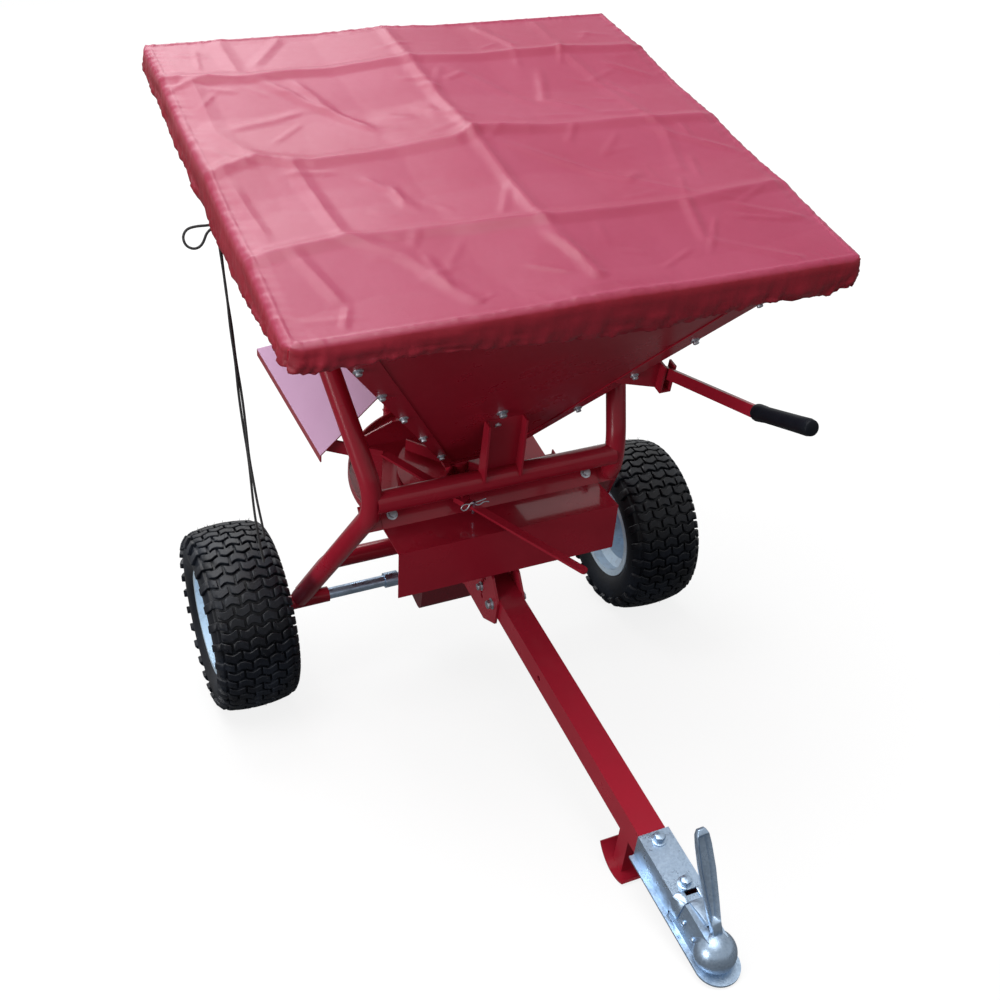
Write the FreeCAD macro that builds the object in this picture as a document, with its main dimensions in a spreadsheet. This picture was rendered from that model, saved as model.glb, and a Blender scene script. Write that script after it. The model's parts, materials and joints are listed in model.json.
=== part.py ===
"""Towable salt spreader: square hopper on a tubular chassis, spinner driven from the axle.

Every piece is laid out with the machine level, X to the right, Y to the rear and Z up,
about the middle of the axle. The drawbar, its foot and the coupler have a layout of their own
about the pivot hole of the drawbar. The parked placement then tips the whole machine
about the axle until the foot stands on the ground.
"""
import FreeCAD, Part
import math
import os
import re

import Sketcher
from FreeCAD import Placement, Rotation, Vector

DIMENSIONS = (
    # wheels
    ("tyre_dia", 400), ("tyre_width", 165), ("tyre_crown", 7), ("tread_half", 62),
    ("tyre_widest_dia", 300), ("bead_half", 68), ("bead_dia", 206), ("bead_thick", 14),
    ("tyre_wall", 9), ("wheel_track", 953), ("rim_edge_dia", 228), ("rim_edge_thick", 3),
    ("rim_wall", 3), ("rim_shelf", 22), ("rim_well_half", 32), ("rim_well_dia", 168),
    ("rim_disc_offset", 14), ("rim_disc_sheet", 3), ("hub_dia", 62), ("hub_outer", 48), ("hub_inner", 100),
    # axle
    ("axle_dia", 25), ("axle_end", 8), ("collar_dia", 34), ("collar_outer", 148), ("collar_inner", 117),
    ("end_washer_dia", 44), ("end_washer_thick", 4), ("end_play", 0.5),
    ("sleeve_dia", 33.7), ("sleeve_outer", 366), ("sleeve_inner", 278), ("running_gap", 0.05),
    # chassis tubes
    ("leg_dia", 40), ("tube_wall", 2.5), ("leg_bend", 95), ("leg_foot_x", 341), ("leg_foot_rise", 10),
    ("knee_x", 250), ("knee_front", 205), ("knee_height", 450),
    ("leg_top_x", 330), ("leg_top_back", 98), ("leg_top_height", 826),
    ("crossbar_dia", 44), ("crossbar_front", 190.5), ("crossbar_height", 446.5),
    ("arch_foot_x", 334), ("arch_foot_back", 8), ("arch_foot_rise", 10),
    ("arch_back", 40), ("arch_height", 62), ("arch_half", 262), ("arch_bend", 50),
    ("post_dia", 30), ("post_half", 60), ("post_back", 248), ("post_height", 120), ("post_bend", 70),
    # gearbox and spinner
    ("gearbox_half", 80), ("gearbox_front", 62), ("gearbox_back", 56), ("gearbox_top", 41),
    ("gearbox_drop", 64), ("gearbox_round", 24), ("neck_dia", 36), ("neck_top", 96),
    ("spindle_dia", 24), ("spindle_foot", 16),
    ("pan_dia", 455), ("pan_height", 288), ("pan_sheet", 3), ("pan_rim", 12), ("pan_eye_dia", 60),
    ("pan_trim_x", 210), ("pan_tab_half", 80), ("pan_tab_back", 244), ("baffle_back", 135),
    ("baffle_half", 168), ("baffle_rise", 58), ("baffle_rise_end", 28), ("baffle_slope_end", 99),
    ("disc_dia", 250), ("disc_sheet", 3), ("disc_above", 14), ("boss_dia", 50), ("boss_rise", 30),
    ("vane_count", 4), ("vane_rise", 28), ("vane_sheet", 3),
    # hopper
    ("outlet_half_x", 66), ("outlet_front", 79), ("outlet_back", 86), ("outlet_height", 400),
    ("hopper_top", 1017), ("mouth_half_x", 428), ("mouth_front", 425), ("mouth_back", 518),
    ("hopper_sheet", 2), ("flange_low", 18), ("flange_high", 58),
    ("rim_half_x", 478), ("rim_front", 431), ("rim_back", 528), ("rim_sheet", 3), ("rim_lip", 26),
    ("floor_sheet", 4), ("outlet_dia", 90), ("shutter_sheet", 3), ("shutter_length", 150),
    ("shutter_width", 104), ("shutter_front", 62), ("shutter_gap", 0.3),
    ("rail_wide", 12), ("rail_sheet", 3),
    # hopper bracket
    ("bracket_half", 40), ("bracket_sheet", 4), ("bracket_top", 592), ("bracket_back", 181),
    ("bracket_top_front", 204), ("bracket_low_front", 212), ("bracket_low", 458),
    # front shield
    ("shield_half", 231), ("shield_sheet", 2.5), ("shield_back", 150), ("shield_back_height", 404),
    ("shield_fold", 192), ("shield_fold_height", 372), ("shield_front", 277),
    ("shield_front_height", 387), ("shield_low_front", 289), ("shield_low_height", 279),
    ("shield_tab_in", 190), ("shield_tab_sheet", 4),
    # side flap, its hinge and its stay
    ("flap_hinge_out", 10.85), ("flap_hinge_height", 569), ("flap_out", 128), ("flap_drop", 137),
    ("flap_front", 20), ("flap_back", 200), ("flap_outer_back", 372), ("flap_flare", 32),
    ("flap_sheet", 2.5), ("flap_lip", 18),
    ("hinge_pin_dia", 6), ("hinge_wall", 2.5), ("hinge_knuckle", 40), ("hinge_gap", 0.3),
    ("stay_height", 30), ("stay_sheet", 5), ("stay_outer_x", 290), ("stay_outer_back", 15),
    ("stay_inner_x", 180), ("stay_inner_front", 35), ("stay_level", 415), ("stay_outer_level", 432),
    ("stay_post_wide", 40),
    # control bar
    ("control_wide", 16), ("control_thick", 6), ("control_start_level", 420),
    ("control_tip_level", 388), ("control_tip_x", 89), ("control_tip_front", 424),
    ("guide_wall", 3), ("guide_long", 24),
    # drawbar
    ("pivot_front", 295), ("pivot_height", 201), ("drawbar_rise", 4.37), ("drawbar_size", 50),
    ("drawbar_wall", 3), ("drawbar_tail", 92), ("drawbar_reach", 724), ("pivot_hole", 13),
    ("set_count", 6), ("set_radius", 54), ("set_pitch", 12.5), ("set_hole", 11), ("side_hole", 214),
    ("plate_sheet", 5), ("plate_gap", 0.3), ("bolt_gap", 0.05), ("bolt_head", 8),
    ("bolt_head_ratio", 1.5),
    ("plate_nose", 318), ("plate_nose_low", 164), ("plate_nose_high", 222),
    ("plate_shoulder", 282), ("plate_shoulder_height", 260), ("plate_top_front", 222),
    ("plate_top_back", 60), ("plate_belly", 268), ("plate_belly_height", 127),
    ("plate_elbow", 163), ("plate_elbow_height", 121), ("plate_low_front", 56), ("plate_back", 40),
    # foot
    ("foot_along", 574), ("foot_depth", 59), ("skid_dia", 114), ("skid_width", 80),
    ("skid_sheet", 4), ("skid_half_angle", 50), ("skid_turn", 7), ("foot_leg_long", 30),
    ("foot_leg_ahead", 20),
    # coupler
    ("coupler_rear", 611), ("coupler_wall", 4), ("coupler_shoulder", 728),
    ("coupler_neck_half", 18), ("coupler_neck_top", 27), ("ball_along", 822),
    ("ball_dia", 50), ("ball_gap", 0.5), ("ball_drop", 4), ("dome_dia", 70), ("nose_along", 834),
    ("lip_width", 9), ("lip_thick", 4), ("handle_wide", 22), ("handle_thick", 12),
    ("handle_out", 5),
    ("handle_along", 811), ("handle_up", 26), ("handle_tip_along", 716), ("handle_tip_up", 176),
    # gate lever
    ("lever_x", 292), ("lever_pivot_front", 122), ("lever_pivot_height", 628),
    ("lever_grip_front", 503), ("lever_grip_height", 797), ("lever_tip_front", 636),
    ("lever_tip_height", 871), ("lever_wide", 23), ("lever_thick", 6), ("grip_dia", 30),
    ("grip_length", 150), ("lever_pin_dia", 12), ("lever_lug_wide", 40), ("lever_lug_sheet", 6),
    ("lever_gap", 0.5), ("pin_head_ratio", 1.8), ("quadrant_below", 9), ("quadrant_rise", 60),
    ("quadrant_sheet", 4), ("quadrant_strip", 22), ("quadrant_gap", 5),
    # cover
    ("cover_half_x", 485), ("cover_front", 437), ("cover_back", 535), ("cover_top", 1025),
    ("cover_cloth", 4.7), ("cover_skirt", 72), ("cover_drop", 36),
    ("hem_half_x", 466), ("hem_front", 430), ("hem_back", 520),
    # drawcord
    ("cord_dia", 4.5), ("knot_dia", 14), ("knot_out", 4), ("knot_back", 15.5), ("soft_gap", 0.3),
)

ALIASES = {alias for alias, value in DIMENSIONS}

doc = FreeCAD.newDocument("salt_spreader")
sheet = doc.addObject("Spreadsheet::Sheet", "Dims")
for row, (alias, value) in enumerate(DIMENSIONS, start=1):
    sheet.set("A%d" % row, alias)
    sheet.set("B%d" % row, str(value))
    sheet.setAlias("B%d" % row, alias)
doc.recompute()


class Size:
    """The spreadsheet's values by name, in millimetres or degrees."""

    def __getattr__(self, alias):
        return float(getattr(sheet, alias))


size = Size()
parts = []

TYRE_RADIUS = size.tyre_dia / 2
AXLE_RADIUS = size.axle_dia / 2
LEG_RADIUS = size.leg_dia / 2



# ---- placements ------------------------------------------------------------------------------
def drawbar_layout():
    """The drawbar's own layout: pivot hole at the origin, -Y towards the coupler."""
    turn = Rotation(Vector(1, 0, 0), -size.drawbar_rise)
    return Placement(Vector(0, -size.pivot_front, size.pivot_height), turn)


def parked_tilt():
    """Nose-down angle at which tyres and skid touch one flat ground."""
    skid_centre = drawbar_layout().multVec(Vector(0, -size.foot_along, -size.foot_depth))
    span = math.hypot(skid_centre.y, skid_centre.z)
    lean = math.atan2(skid_centre.z, -skid_centre.y)
    return math.degrees(lean + math.asin((TYRE_RADIUS - size.skid_dia / 2) / span))


level = Placement()
tipped = Placement(Vector(0, 0, TYRE_RADIUS), Rotation(Vector(1, 0, 0), parked_tilt()))


def keep(name, piece, layout=level):
    """Adds one sub-part: a document object, or a finished shape."""
    if isinstance(piece, Part.Shape):
        feature = doc.addObject("Part::Feature", name)
        feature.Shape = piece
    else:
        feature = piece
    feature.Label = name
    feature.Placement = tipped.multiply(layout)
    parts.append(feature)
    return feature


# ---- bound objects ---------------------------------------------------------------------------
def bound(expression):
    """An expression in which each size's name points at its cell."""
    return re.sub(r"[A-Za-z_]\w*", lambda word: "Dims." + word[0] if word[0] in ALIASES else word[0],
                  expression)


def cylinder(name, radius, height, base=("0", "0", "0"), turn=Rotation()):
    feature = doc.addObject("Part::Cylinder", name)
    feature.Placement = Placement(Vector(), turn)
    feature.setExpression("Radius", bound(radius))
    feature.setExpression("Height", bound(height))
    for letter, expression in zip("xyz", base):
        feature.setExpression("Placement.Base." + letter, bound(expression))
    return feature


def box(name, low, high):
    """A box between two corners of bound coordinates."""
    feature = doc.addObject("Part::Box", name)
    for letter, prop, start, end in zip("xyz", ("Length", "Width", "Height"), low, high):
        feature.setExpression("Placement.Base." + letter, bound(start))
        feature.setExpression(prop, bound("(%s) - (%s)" % (end, start)))
    return feature


def cut(name, base, *tools):
    for number, tool in enumerate(tools, start=1):
        result = doc.addObject("Part::Cut", "%s_cut_%d" % (name, number))
        result.Base = base
        result.Tool = tool
        base = result
    return base


def alone(name, piece):
    """One bound solid as an object whose own placement is free."""
    result = doc.addObject("Part::Refine", name + "_whole")
    result.Source = piece
    return result


# The size at which a sketch is first drawn, before its dimensions are bound.
FIRST_DRAWN = 100


def outline_body(name, role, points, length, offset="0", holes=()):
    """A PartDesign body: a closed outline of bound points, padded, with round holes.

    Points are (across, up) and holes (across, up, diameter) in the plane of that role.
    """
    body = doc.addObject("PartDesign::Body", name + "_body")
    sketch = body.newObject("Sketcher::SketchObject", name + "_outline")
    plane = [plane for plane in body.Origin.OriginFeatures if plane.Role == role][0]
    sketch.AttachmentSupport = [(plane, "")]
    sketch.MapMode = "FlatFace"
    sketch.setExpression("AttachmentOffset.Base.z", bound(offset))
    count = len(points)
    turns = [2 * math.pi * number / count for number in range(count)]
    ring = [Vector(math.cos(turn), math.sin(turn), 0) * FIRST_DRAWN for turn in turns]
    for number in range(count):
        sketch.addGeometry(Part.LineSegment(ring[number], ring[(number + 1) % count]), False)
    for number in range(count):
        sketch.addConstraint(Sketcher.Constraint("Coincident", number, 2, (number + 1) % count, 1))
    for number, (across, up) in enumerate(points):
        bind_place(sketch, number, 1, across, up)
    for across, up, diameter in holes:
        circle = sketch.addGeometry(Part.Circle(Vector(), Vector(0, 0, 1), FIRST_DRAWN), False)
        bind_place(sketch, circle, 3, across, up)
        index = sketch.addConstraint(Sketcher.Constraint("Diameter", circle, 2 * FIRST_DRAWN))
        sketch.setExpression("Constraints[%d]" % index, bound(diameter))
    pad = body.newObject("PartDesign::Pad", name + "_pad")
    pad.Profile = sketch
    pad.setExpression("Length", bound(length))
    body.Tip = pad
    return body


def bind_place(sketch, geometry, end, across, up):
    """Ties one point of a sketch to two bound distances from its origin."""
    for kind, expression in (("DistanceX", across), ("DistanceY", up)):
        index = sketch.addConstraint(Sketcher.Constraint(kind, -1, 1, geometry, end, 1))
        sketch.setExpression("Constraints[%d]" % index, bound(expression))


# ---- shapes ----------------------------------------------------------------------------------
ALONG_X = Rotation(Vector(0, 1, 0), 90)


def bent_path(points, bends):
    """Straight runs joined by tangent arcs, one bend radius at each inner point."""
    edges = []
    here = points[0]
    for number, bend in enumerate(bends, start=1):
        corner = points[number]
        back = (points[number - 1] - corner).normalize()
        ahead = (points[number + 1] - corner).normalize()
        half_turn = (math.pi - back.getAngle(ahead)) / 2
        reach = bend * math.tan(half_turn)
        arc_start = corner + back * reach
        arc_end = corner + ahead * reach
        middle = corner + (back + ahead).normalize() * (bend / math.cos(half_turn) - bend)
        edges.append(Part.LineSegment(here, arc_start).toShape())
        edges.append(Part.Arc(arc_start, middle, arc_end).toShape())
        here = arc_end
    edges.append(Part.LineSegment(here, points[-1]).toShape())
    return Part.Wire(edges)


def rod(points, bends, diameter):
    """A round bar along a bent path."""
    section = Part.Wire(Part.makeCircle(diameter / 2, points[0], points[1] - points[0]))
    return bent_path(points, bends).makePipeShell([section], True, False)


def pipe(points, bends, diameter, wall):
    return rod(points, bends, diameter).cut(rod(points, bends, diameter - 2 * wall))


def section(*runs):
    """A face in the XZ plane from runs of two points and arcs of three, each (across, up)."""
    edges = []
    for run in runs:
        places = [Vector(across, 0, up) for across, up in run]
        edges.append(Part.makeLine(*places) if len(places) == 2 else Part.Arc(*places).toShape())
    return Part.Face(Part.Wire(edges))


def polygon(points):
    return Part.Face(Part.makePolygon(points + [points[0]]))


def slab(lower, upper):
    """A solid between two level quadrilaterals."""
    faces = [polygon(lower), polygon(upper)]
    for number in range(4):
        faces.append(polygon([lower[number - 1], lower[number], upper[number], upper[number - 1]]))
    solid = Part.makeSolid(Part.makeShell(faces))
    if solid.Volume < 0:
        solid.reverse()
    return solid


def folded(points, thickness):
    """The outline of a folded sheet: its face's points, then the other face's, mitred."""
    normals = []
    for start, end in zip(points, points[1:]):
        run = (end - start).normalize()
        normals.append(Vector(-run.y, run.x, 0))
    other = [points[0] + normals[0] * thickness]
    for number in range(1, len(points) - 1):
        middle = (normals[number - 1] + normals[number]).normalize()
        other.append(points[number] + middle * (thickness / middle.dot(normals[number])))
    other.append(points[-1] + normals[-1] * thickness)
    return points + other[::-1]


# ---- wheels ----------------------------------------------------------------------------------
def wall_arc(end, half_width, height):
    """An arc from a point of the tyre's section to its widest point, square to it there."""
    across, up = end
    radius = ((half_width - across) ** 2 + (up - height) ** 2) / (2 * (half_width - across))
    centre = half_width - radius
    turn = math.atan2(up - height, across - centre) / 2
    middle = (centre + radius * math.cos(turn), height + radius * math.sin(turn))
    return end, middle, (half_width, height)


def mirrored(run):
    """The same run on the other flank, drawn the other way."""
    return [(-across, up) for across, up in reversed(run)]


def tyre_section(inset):
    """Half outline of the tyre or of its hollow, from the bead up to the crown's edge."""
    widest = size.tyre_widest_dia / 2
    half = size.tyre_width / 2 - inset
    bead_top = (size.bead_half - min(inset, 1) * size.bead_thick, size.rim_edge_dia / 2)
    crown_edge = (size.tread_half - inset, TYRE_RADIUS - size.tyre_crown - inset)
    lower = wall_arc(bead_top, half, widest)
    upper = wall_arc(crown_edge, half, widest)[::-1]
    return bead_top, lower, upper, crown_edge


def tyre(name, centre):
    seat = size.bead_dia / 2
    bead_top, lower, upper, crown_edge = tyre_section(0)
    inner_top, inner_lower, inner_upper, inner_edge = tyre_section(size.tyre_wall)
    bead_foot = (bead_top[0], seat)
    inner_foot = (inner_top[0], seat)
    flank = [(bead_foot, bead_top), lower, upper]
    hollow = [(inner_foot, inner_top), inner_lower, inner_upper]
    crown = [crown_edge, (0, TYRE_RADIUS), (-crown_edge[0], crown_edge[1])]
    inner_crown = [inner_edge, (0, TYRE_RADIUS - size.tyre_wall), (-inner_edge[0], inner_edge[1])]
    runs = flank + [crown] + [mirrored(run) for run in reversed(flank)]
    runs.append(((-bead_foot[0], seat), (-inner_foot[0], seat)))
    runs += [run[::-1] for run in [mirrored(run) for run in hollow]]
    runs.append(inner_crown[::-1])
    runs += [run[::-1] for run in reversed(hollow)]
    runs.append((inner_foot, bead_foot))
    shape = section(*runs).revolve(Vector(), Vector(1, 0, 0), 360)
    keep(name, shape, Placement(Vector(centre, 0, 0), Rotation()))


def rim(name, centre, bore):
    """A steel rim: shelves and well rolled in one sheet, with its disc and hub."""
    edge = size.rim_edge_dia / 2
    seat = size.bead_dia / 2
    well = size.rim_well_dia / 2
    lip = size.bead_half + size.rim_edge_thick
    shelf = size.bead_half - size.rim_shelf
    outer = [(lip, edge), (size.bead_half, edge), (size.bead_half, seat), (shelf, seat),
             (size.rim_well_half, well)]
    inner = [(lip, seat - size.rim_wall), (shelf + size.rim_wall, seat - size.rim_wall),
             (size.rim_well_half + size.rim_wall, well - size.rim_wall)]
    outline = outer + mirrored(outer) + mirrored(inner)[::-1] + inner[::-1]
    rolled = polygon([Vector(across, 0, up) for across, up in outline])
    shape = rolled.revolve(Vector(), Vector(1, 0, 0), 360)
    outward = math.copysign(1, centre)
    axis = Vector(outward, 0, 0)
    disc = Part.makeCylinder(well - size.rim_wall, size.rim_disc_sheet, axis * size.rim_disc_offset, axis)
    hub = Part.makeCylinder(size.hub_dia / 2, size.hub_inner + size.hub_outer, axis * -size.hub_inner, axis)
    hole = Part.makeCylinder(bore / 2, size.hub_inner + size.hub_outer, axis * -size.hub_inner, axis)
    keep(name, shape.fuse([disc, hub]).cut(hole), Placement(Vector(centre, 0, 0), Rotation()))


def wheels():
    half_track = size.wheel_track / 2
    tyre("tyre_left", -half_track)
    rim("rim_left", -half_track, size.axle_dia)
    tyre("tyre_right", half_track)
    rim("rim_right", half_track, size.axle_dia + 2 * size.running_gap)


# ---- axle and its bearings -------------------------------------------------------------------
def axle():
    reach = "wheel_track / 2 + hub_outer + end_play + end_washer_thick + axle_end"
    shaft = cylinder("axle_bar", "axle_dia / 2", "2 * (%s)" % reach, ("-(%s)" % reach, "0", "0"), ALONG_X)
    keep("axle_shaft", alone("axle", shaft))
    wheel_end = size.wheel_track / 2 + size.hub_outer
    rings = []
    for side in (-1, 1):
        axis = Vector(side, 0, 0)
        play = size.end_play if side > 0 else 0
        long = size.collar_outer - size.collar_inner
        rings.append((axis * size.collar_inner, axis, size.collar_dia, long))
        rings.append((axis * (wheel_end + play), axis, size.end_washer_dia, size.end_washer_thick))
    solids = []
    for base, axis, diameter, long in rings:
        ring = Part.makeCylinder(diameter / 2, long, base, axis)
        solids.append(ring.cut(Part.makeCylinder(AXLE_RADIUS, long, base, axis)))
    keep("axle_collars", Part.makeCompound(solids))


def sleeves():
    for side, start in (("left", "-sleeve_outer"), ("right", "sleeve_inner")):
        name = "bearing_sleeve_" + side
        long = "sleeve_outer - sleeve_inner"
        outer = cylinder(name + "_bar", "sleeve_dia / 2", long, (start, "0", "0"), ALONG_X)
        bore = cylinder(name + "_bore", "axle_dia / 2 + running_gap", long, (start, "0", "0"), ALONG_X)
        keep(name, cut(name, outer, bore))


def sleeve_rod(side):
    """The room that one bearing sleeve and its bore take up."""
    long = size.sleeve_outer - size.sleeve_inner
    return Part.makeCylinder(size.sleeve_dia / 2, long, Vector(side * size.sleeve_inner, 0, 0),
                             Vector(side, 0, 0))


# ---- chassis tubes ---------------------------------------------------------------------------
def leg_route(side):
    foot = Vector(side * size.leg_foot_x, 0, size.leg_foot_rise)
    knee = Vector(side * size.knee_x, -size.knee_front, size.knee_height)
    top = Vector(side * size.leg_top_x, size.leg_top_back, size.leg_top_height)
    return [foot, knee, top]


def leg_rod(side):
    return rod(leg_route(side), [size.leg_bend], size.leg_dia)


def legs():
    for side, word in ((-1, "left"), (1, "right")):
        tube = pipe(leg_route(side), [size.leg_bend], size.leg_dia, size.tube_wall)
        keep("front_leg_" + word, tube.cut([sleeve_rod(side), hopper_room()]))


def crossbar_rod():
    return Part.makeCylinder(size.crossbar_dia / 2, 2 * size.knee_x,
                             Vector(-size.knee_x, -size.crossbar_front, size.crossbar_height),
                             Vector(1, 0, 0))


def crossbar():
    core = Part.makeCylinder(size.crossbar_dia / 2 - size.tube_wall, 2 * size.knee_x,
                             Vector(-size.knee_x, -size.crossbar_front, size.crossbar_height),
                             Vector(1, 0, 0))
    keep("front_crossbar", crossbar_rod().cut([core, leg_rod(-1), leg_rod(1)]))


def arch_route():
    bends = [Vector(side * size.arch_half, size.arch_back, size.arch_height) for side in (-1, 1)]
    feet = [Vector(side * size.arch_foot_x, size.arch_foot_back, size.arch_foot_rise)
            for side in (-1, 1)]
    return [feet[0], bends[0], bends[1], feet[1]]


def arch_rod():
    return rod(arch_route(), [size.arch_bend] * 2, size.leg_dia)


def arch():
    tube = pipe(arch_route(), [size.arch_bend] * 2, size.leg_dia, size.tube_wall)
    keep("axle_arch", tube.cut([sleeve_rod(-1), sleeve_rod(1), leg_rod(-1), leg_rod(1)]))


def post_route(side):
    across = side * size.post_half
    start = Vector(across, size.arch_back, size.arch_height)
    heel = Vector(across, size.post_back, size.post_height)
    reach = size.post_back + size.post_dia / 2
    steep = (size.mouth_back - size.outlet_back) / (size.hopper_top - size.outlet_height)
    top = Vector(across, size.post_back, size.outlet_height + (reach - size.outlet_back) / steep)
    return [start, heel, top]


def posts():
    for side, word in ((-1, "left"), (1, "right")):
        tube = pipe(post_route(side), [size.post_bend], size.post_dia, size.tube_wall)
        keep("rear_post_" + word, tube.cut([arch_rod(), hopper_room()]))


# ---- hopper ----------------------------------------------------------------------------------
def rising(low, high):
    """A hopper edge that runs straight from the outlet's level to the mouth's."""
    def at(height):
        return low + (high - low) * (height - size.outlet_height) / HOPPER_RISE
    return at


HOPPER_RISE = size.hopper_top - size.outlet_height
half_width = rising(size.outlet_half_x, size.mouth_half_x)
front_face = rising(size.outlet_front, size.mouth_front)
back_face = rising(size.outlet_back, size.mouth_back)
flange_width = rising(size.flange_low, size.flange_high)


def level_sheet(low, high):
    """How wide a sloping hopper sheet is, measured level."""
    return size.hopper_sheet * math.hypot(1, (high - low) / HOPPER_RISE)


SIDE_SHEET = level_sheet(size.outlet_half_x, size.mouth_half_x)
FRONT_SHEET = level_sheet(size.outlet_front, size.mouth_front)
BACK_SHEET = level_sheet(size.outlet_back, size.mouth_back)


def hopper_slab(edges):
    """A solid over the hopper's height; edges gives x0, x1, y0, y1 at a height."""
    rings = []
    for height in (size.outlet_height, size.hopper_top):
        left, right, front, back = edges(height)
        rings.append([Vector(left, front, height), Vector(right, front, height),
                      Vector(right, back, height), Vector(left, back, height)])
    return slab(*rings)


def hopper_room():
    """All that lies within the outer faces of the four hopper walls."""
    return hopper_slab(lambda z: (-half_width(z), half_width(z),
                                  FRONT_SHEET - front_face(z), back_face(z) - BACK_SHEET))


def hopper_side(word, side):
    def panel(z):
        edges = sorted((side * half_width(z), side * (half_width(z) - SIDE_SHEET)))
        return edges[0], edges[1], -front_face(z), back_face(z)

    def front_flange(z):
        edges = sorted((side * (half_width(z) - SIDE_SHEET), side * (half_width(z) - flange_width(z))))
        return edges[0], edges[1], -front_face(z), FRONT_SHEET - front_face(z)

    def back_flange(z):
        edges = sorted((side * (half_width(z) - SIDE_SHEET), side * (half_width(z) - flange_width(z))))
        return edges[0], edges[1], back_face(z) - BACK_SHEET, back_face(z)

    whole = hopper_slab(panel).fuse([hopper_slab(front_flange), hopper_slab(back_flange)])
    keep("hopper_" + word, whole.removeSplitter())


def hopper():
    hopper_side("left", -1)
    hopper_side("right", 1)

    def inner(z):
        return half_width(z) - SIDE_SHEET

    keep("hopper_front", hopper_slab(lambda z: (-inner(z), inner(z), FRONT_SHEET - front_face(z),
                                                2 * FRONT_SHEET - front_face(z))))
    keep("hopper_back", hopper_slab(lambda z: (-inner(z), inner(z), back_face(z) - 2 * BACK_SHEET,
                                               back_face(z) - BACK_SHEET)))


def hopper_rim():
    """A flat ring on the four walls, its outer edge turned down."""
    inner_x = "mouth_half_x - 2 * hopper_sheet"
    block = box("rim_block", ("-rim_half_x", "-rim_front", "hopper_top + rim_sheet - rim_lip"),
                ("rim_half_x", "rim_back", "hopper_top + rim_sheet"))
    under = box("rim_under",
                ("rim_sheet - rim_half_x", "rim_sheet - rim_front", "hopper_top - rim_lip"),
                ("rim_half_x - rim_sheet", "rim_back - rim_sheet", "hopper_top"))
    mouth = box("rim_mouth", ("-(%s)" % inner_x, "3 * hopper_sheet - mouth_front", "hopper_top - rim_lip"),
                (inner_x, "mouth_back - 3 * hopper_sheet", "hopper_top + 2 * rim_sheet"))
    keep("hopper_rim", cut("hopper_rim", block, under, mouth))


def outlet():
    """The floor with its round outlet, and the shutter that slides on two rails under it."""
    plate = box("floor_plate", ("-outlet_half_x", "-outlet_front", "outlet_height - floor_sheet"),
                ("outlet_half_x", "outlet_back", "outlet_height"))
    hole = cylinder("floor_hole", "outlet_dia / 2", "2 * floor_sheet",
                    ("0", "0", "outlet_height - 2 * floor_sheet"))
    keep("hopper_floor", cut("hopper_floor", plate, hole))
    top = "outlet_height - floor_sheet - shutter_gap"
    keep("outlet_shutter", alone("shutter", box(
        "shutter_plate", ("-shutter_width / 2", "-shutter_front", top + " - shutter_sheet"),
        ("shutter_width / 2", "shutter_length - shutter_front", top))))
    rails = []
    for side in (-1, 1):
        edge = size.shutter_width / 2 + size.shutter_gap
        below = size.outlet_height - size.floor_sheet
        drop = size.shutter_sheet + 2 * size.shutter_gap
        start = Vector(min(side * edge, side * (edge + size.rail_wide)), -size.outlet_front, 0)
        span = size.outlet_front + size.outlet_back
        spacer = Part.makeBox(size.rail_wide, span, drop, start + Vector(0, 0, below - drop))
        tread = Part.makeBox(2 * size.rail_wide, span, size.rail_sheet)
        tread.translate(Vector(min(side * (edge - size.rail_wide), side * (edge + size.rail_wide)),
                               -size.outlet_front, below - drop - size.rail_sheet))
        rails.append(spacer.fuse(tread).removeSplitter())
    keep("shutter_rails", Part.makeCompound(rails))


def hopper_bracket():
    """A channel on the crossbar that holds the hopper's front wall."""
    half = size.bracket_half
    outline = [(-size.bracket_back, size.bracket_low), (-size.bracket_back, size.bracket_top),
               (-size.bracket_top_front, size.bracket_top), (-size.bracket_low_front, size.bracket_low)]
    side = polygon([Vector(-half, back, height) for back, height in outline])
    block = side.extrude(Vector(2 * half, 0, 0))
    room = side.copy()
    room.translate(Vector(size.bracket_sheet, -size.bracket_sheet, 0))
    inside = room.extrude(Vector(2 * half - 2 * size.bracket_sheet, 0, 0))
    keep("hopper_bracket", block.cut([inside, crossbar_rod(), hopper_room()]))


# ---- gearbox and spinner ---------------------------------------------------------------------
def gearbox():
    shell = Part.makeBox(2 * size.gearbox_half, size.gearbox_front + size.gearbox_back,
                         size.gearbox_drop + size.gearbox_top,
                         Vector(-size.gearbox_half, -size.gearbox_front, -size.gearbox_drop))
    long_edges = [edge for edge in shell.Edges if abs(edge.Length - 2 * size.gearbox_half) < 0.01]
    low_edges = [edge for edge in long_edges if edge.CenterOfMass.z < 0]
    shell = shell.makeFillet(size.gearbox_round, low_edges)
    neck = Part.makeCylinder(size.neck_dia / 2, size.neck_top, Vector(0, 0, 0), Vector(0, 0, 1))
    axle_bore = Part.makeCylinder(AXLE_RADIUS + size.running_gap, 2 * size.gearbox_half,
                                  Vector(-size.gearbox_half, 0, 0), Vector(1, 0, 0))
    spindle_bore = Part.makeCylinder(size.spindle_dia / 2 + size.running_gap, size.neck_top)
    keep("gearbox", shell.fuse(neck).cut([axle_bore, spindle_bore]))


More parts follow.
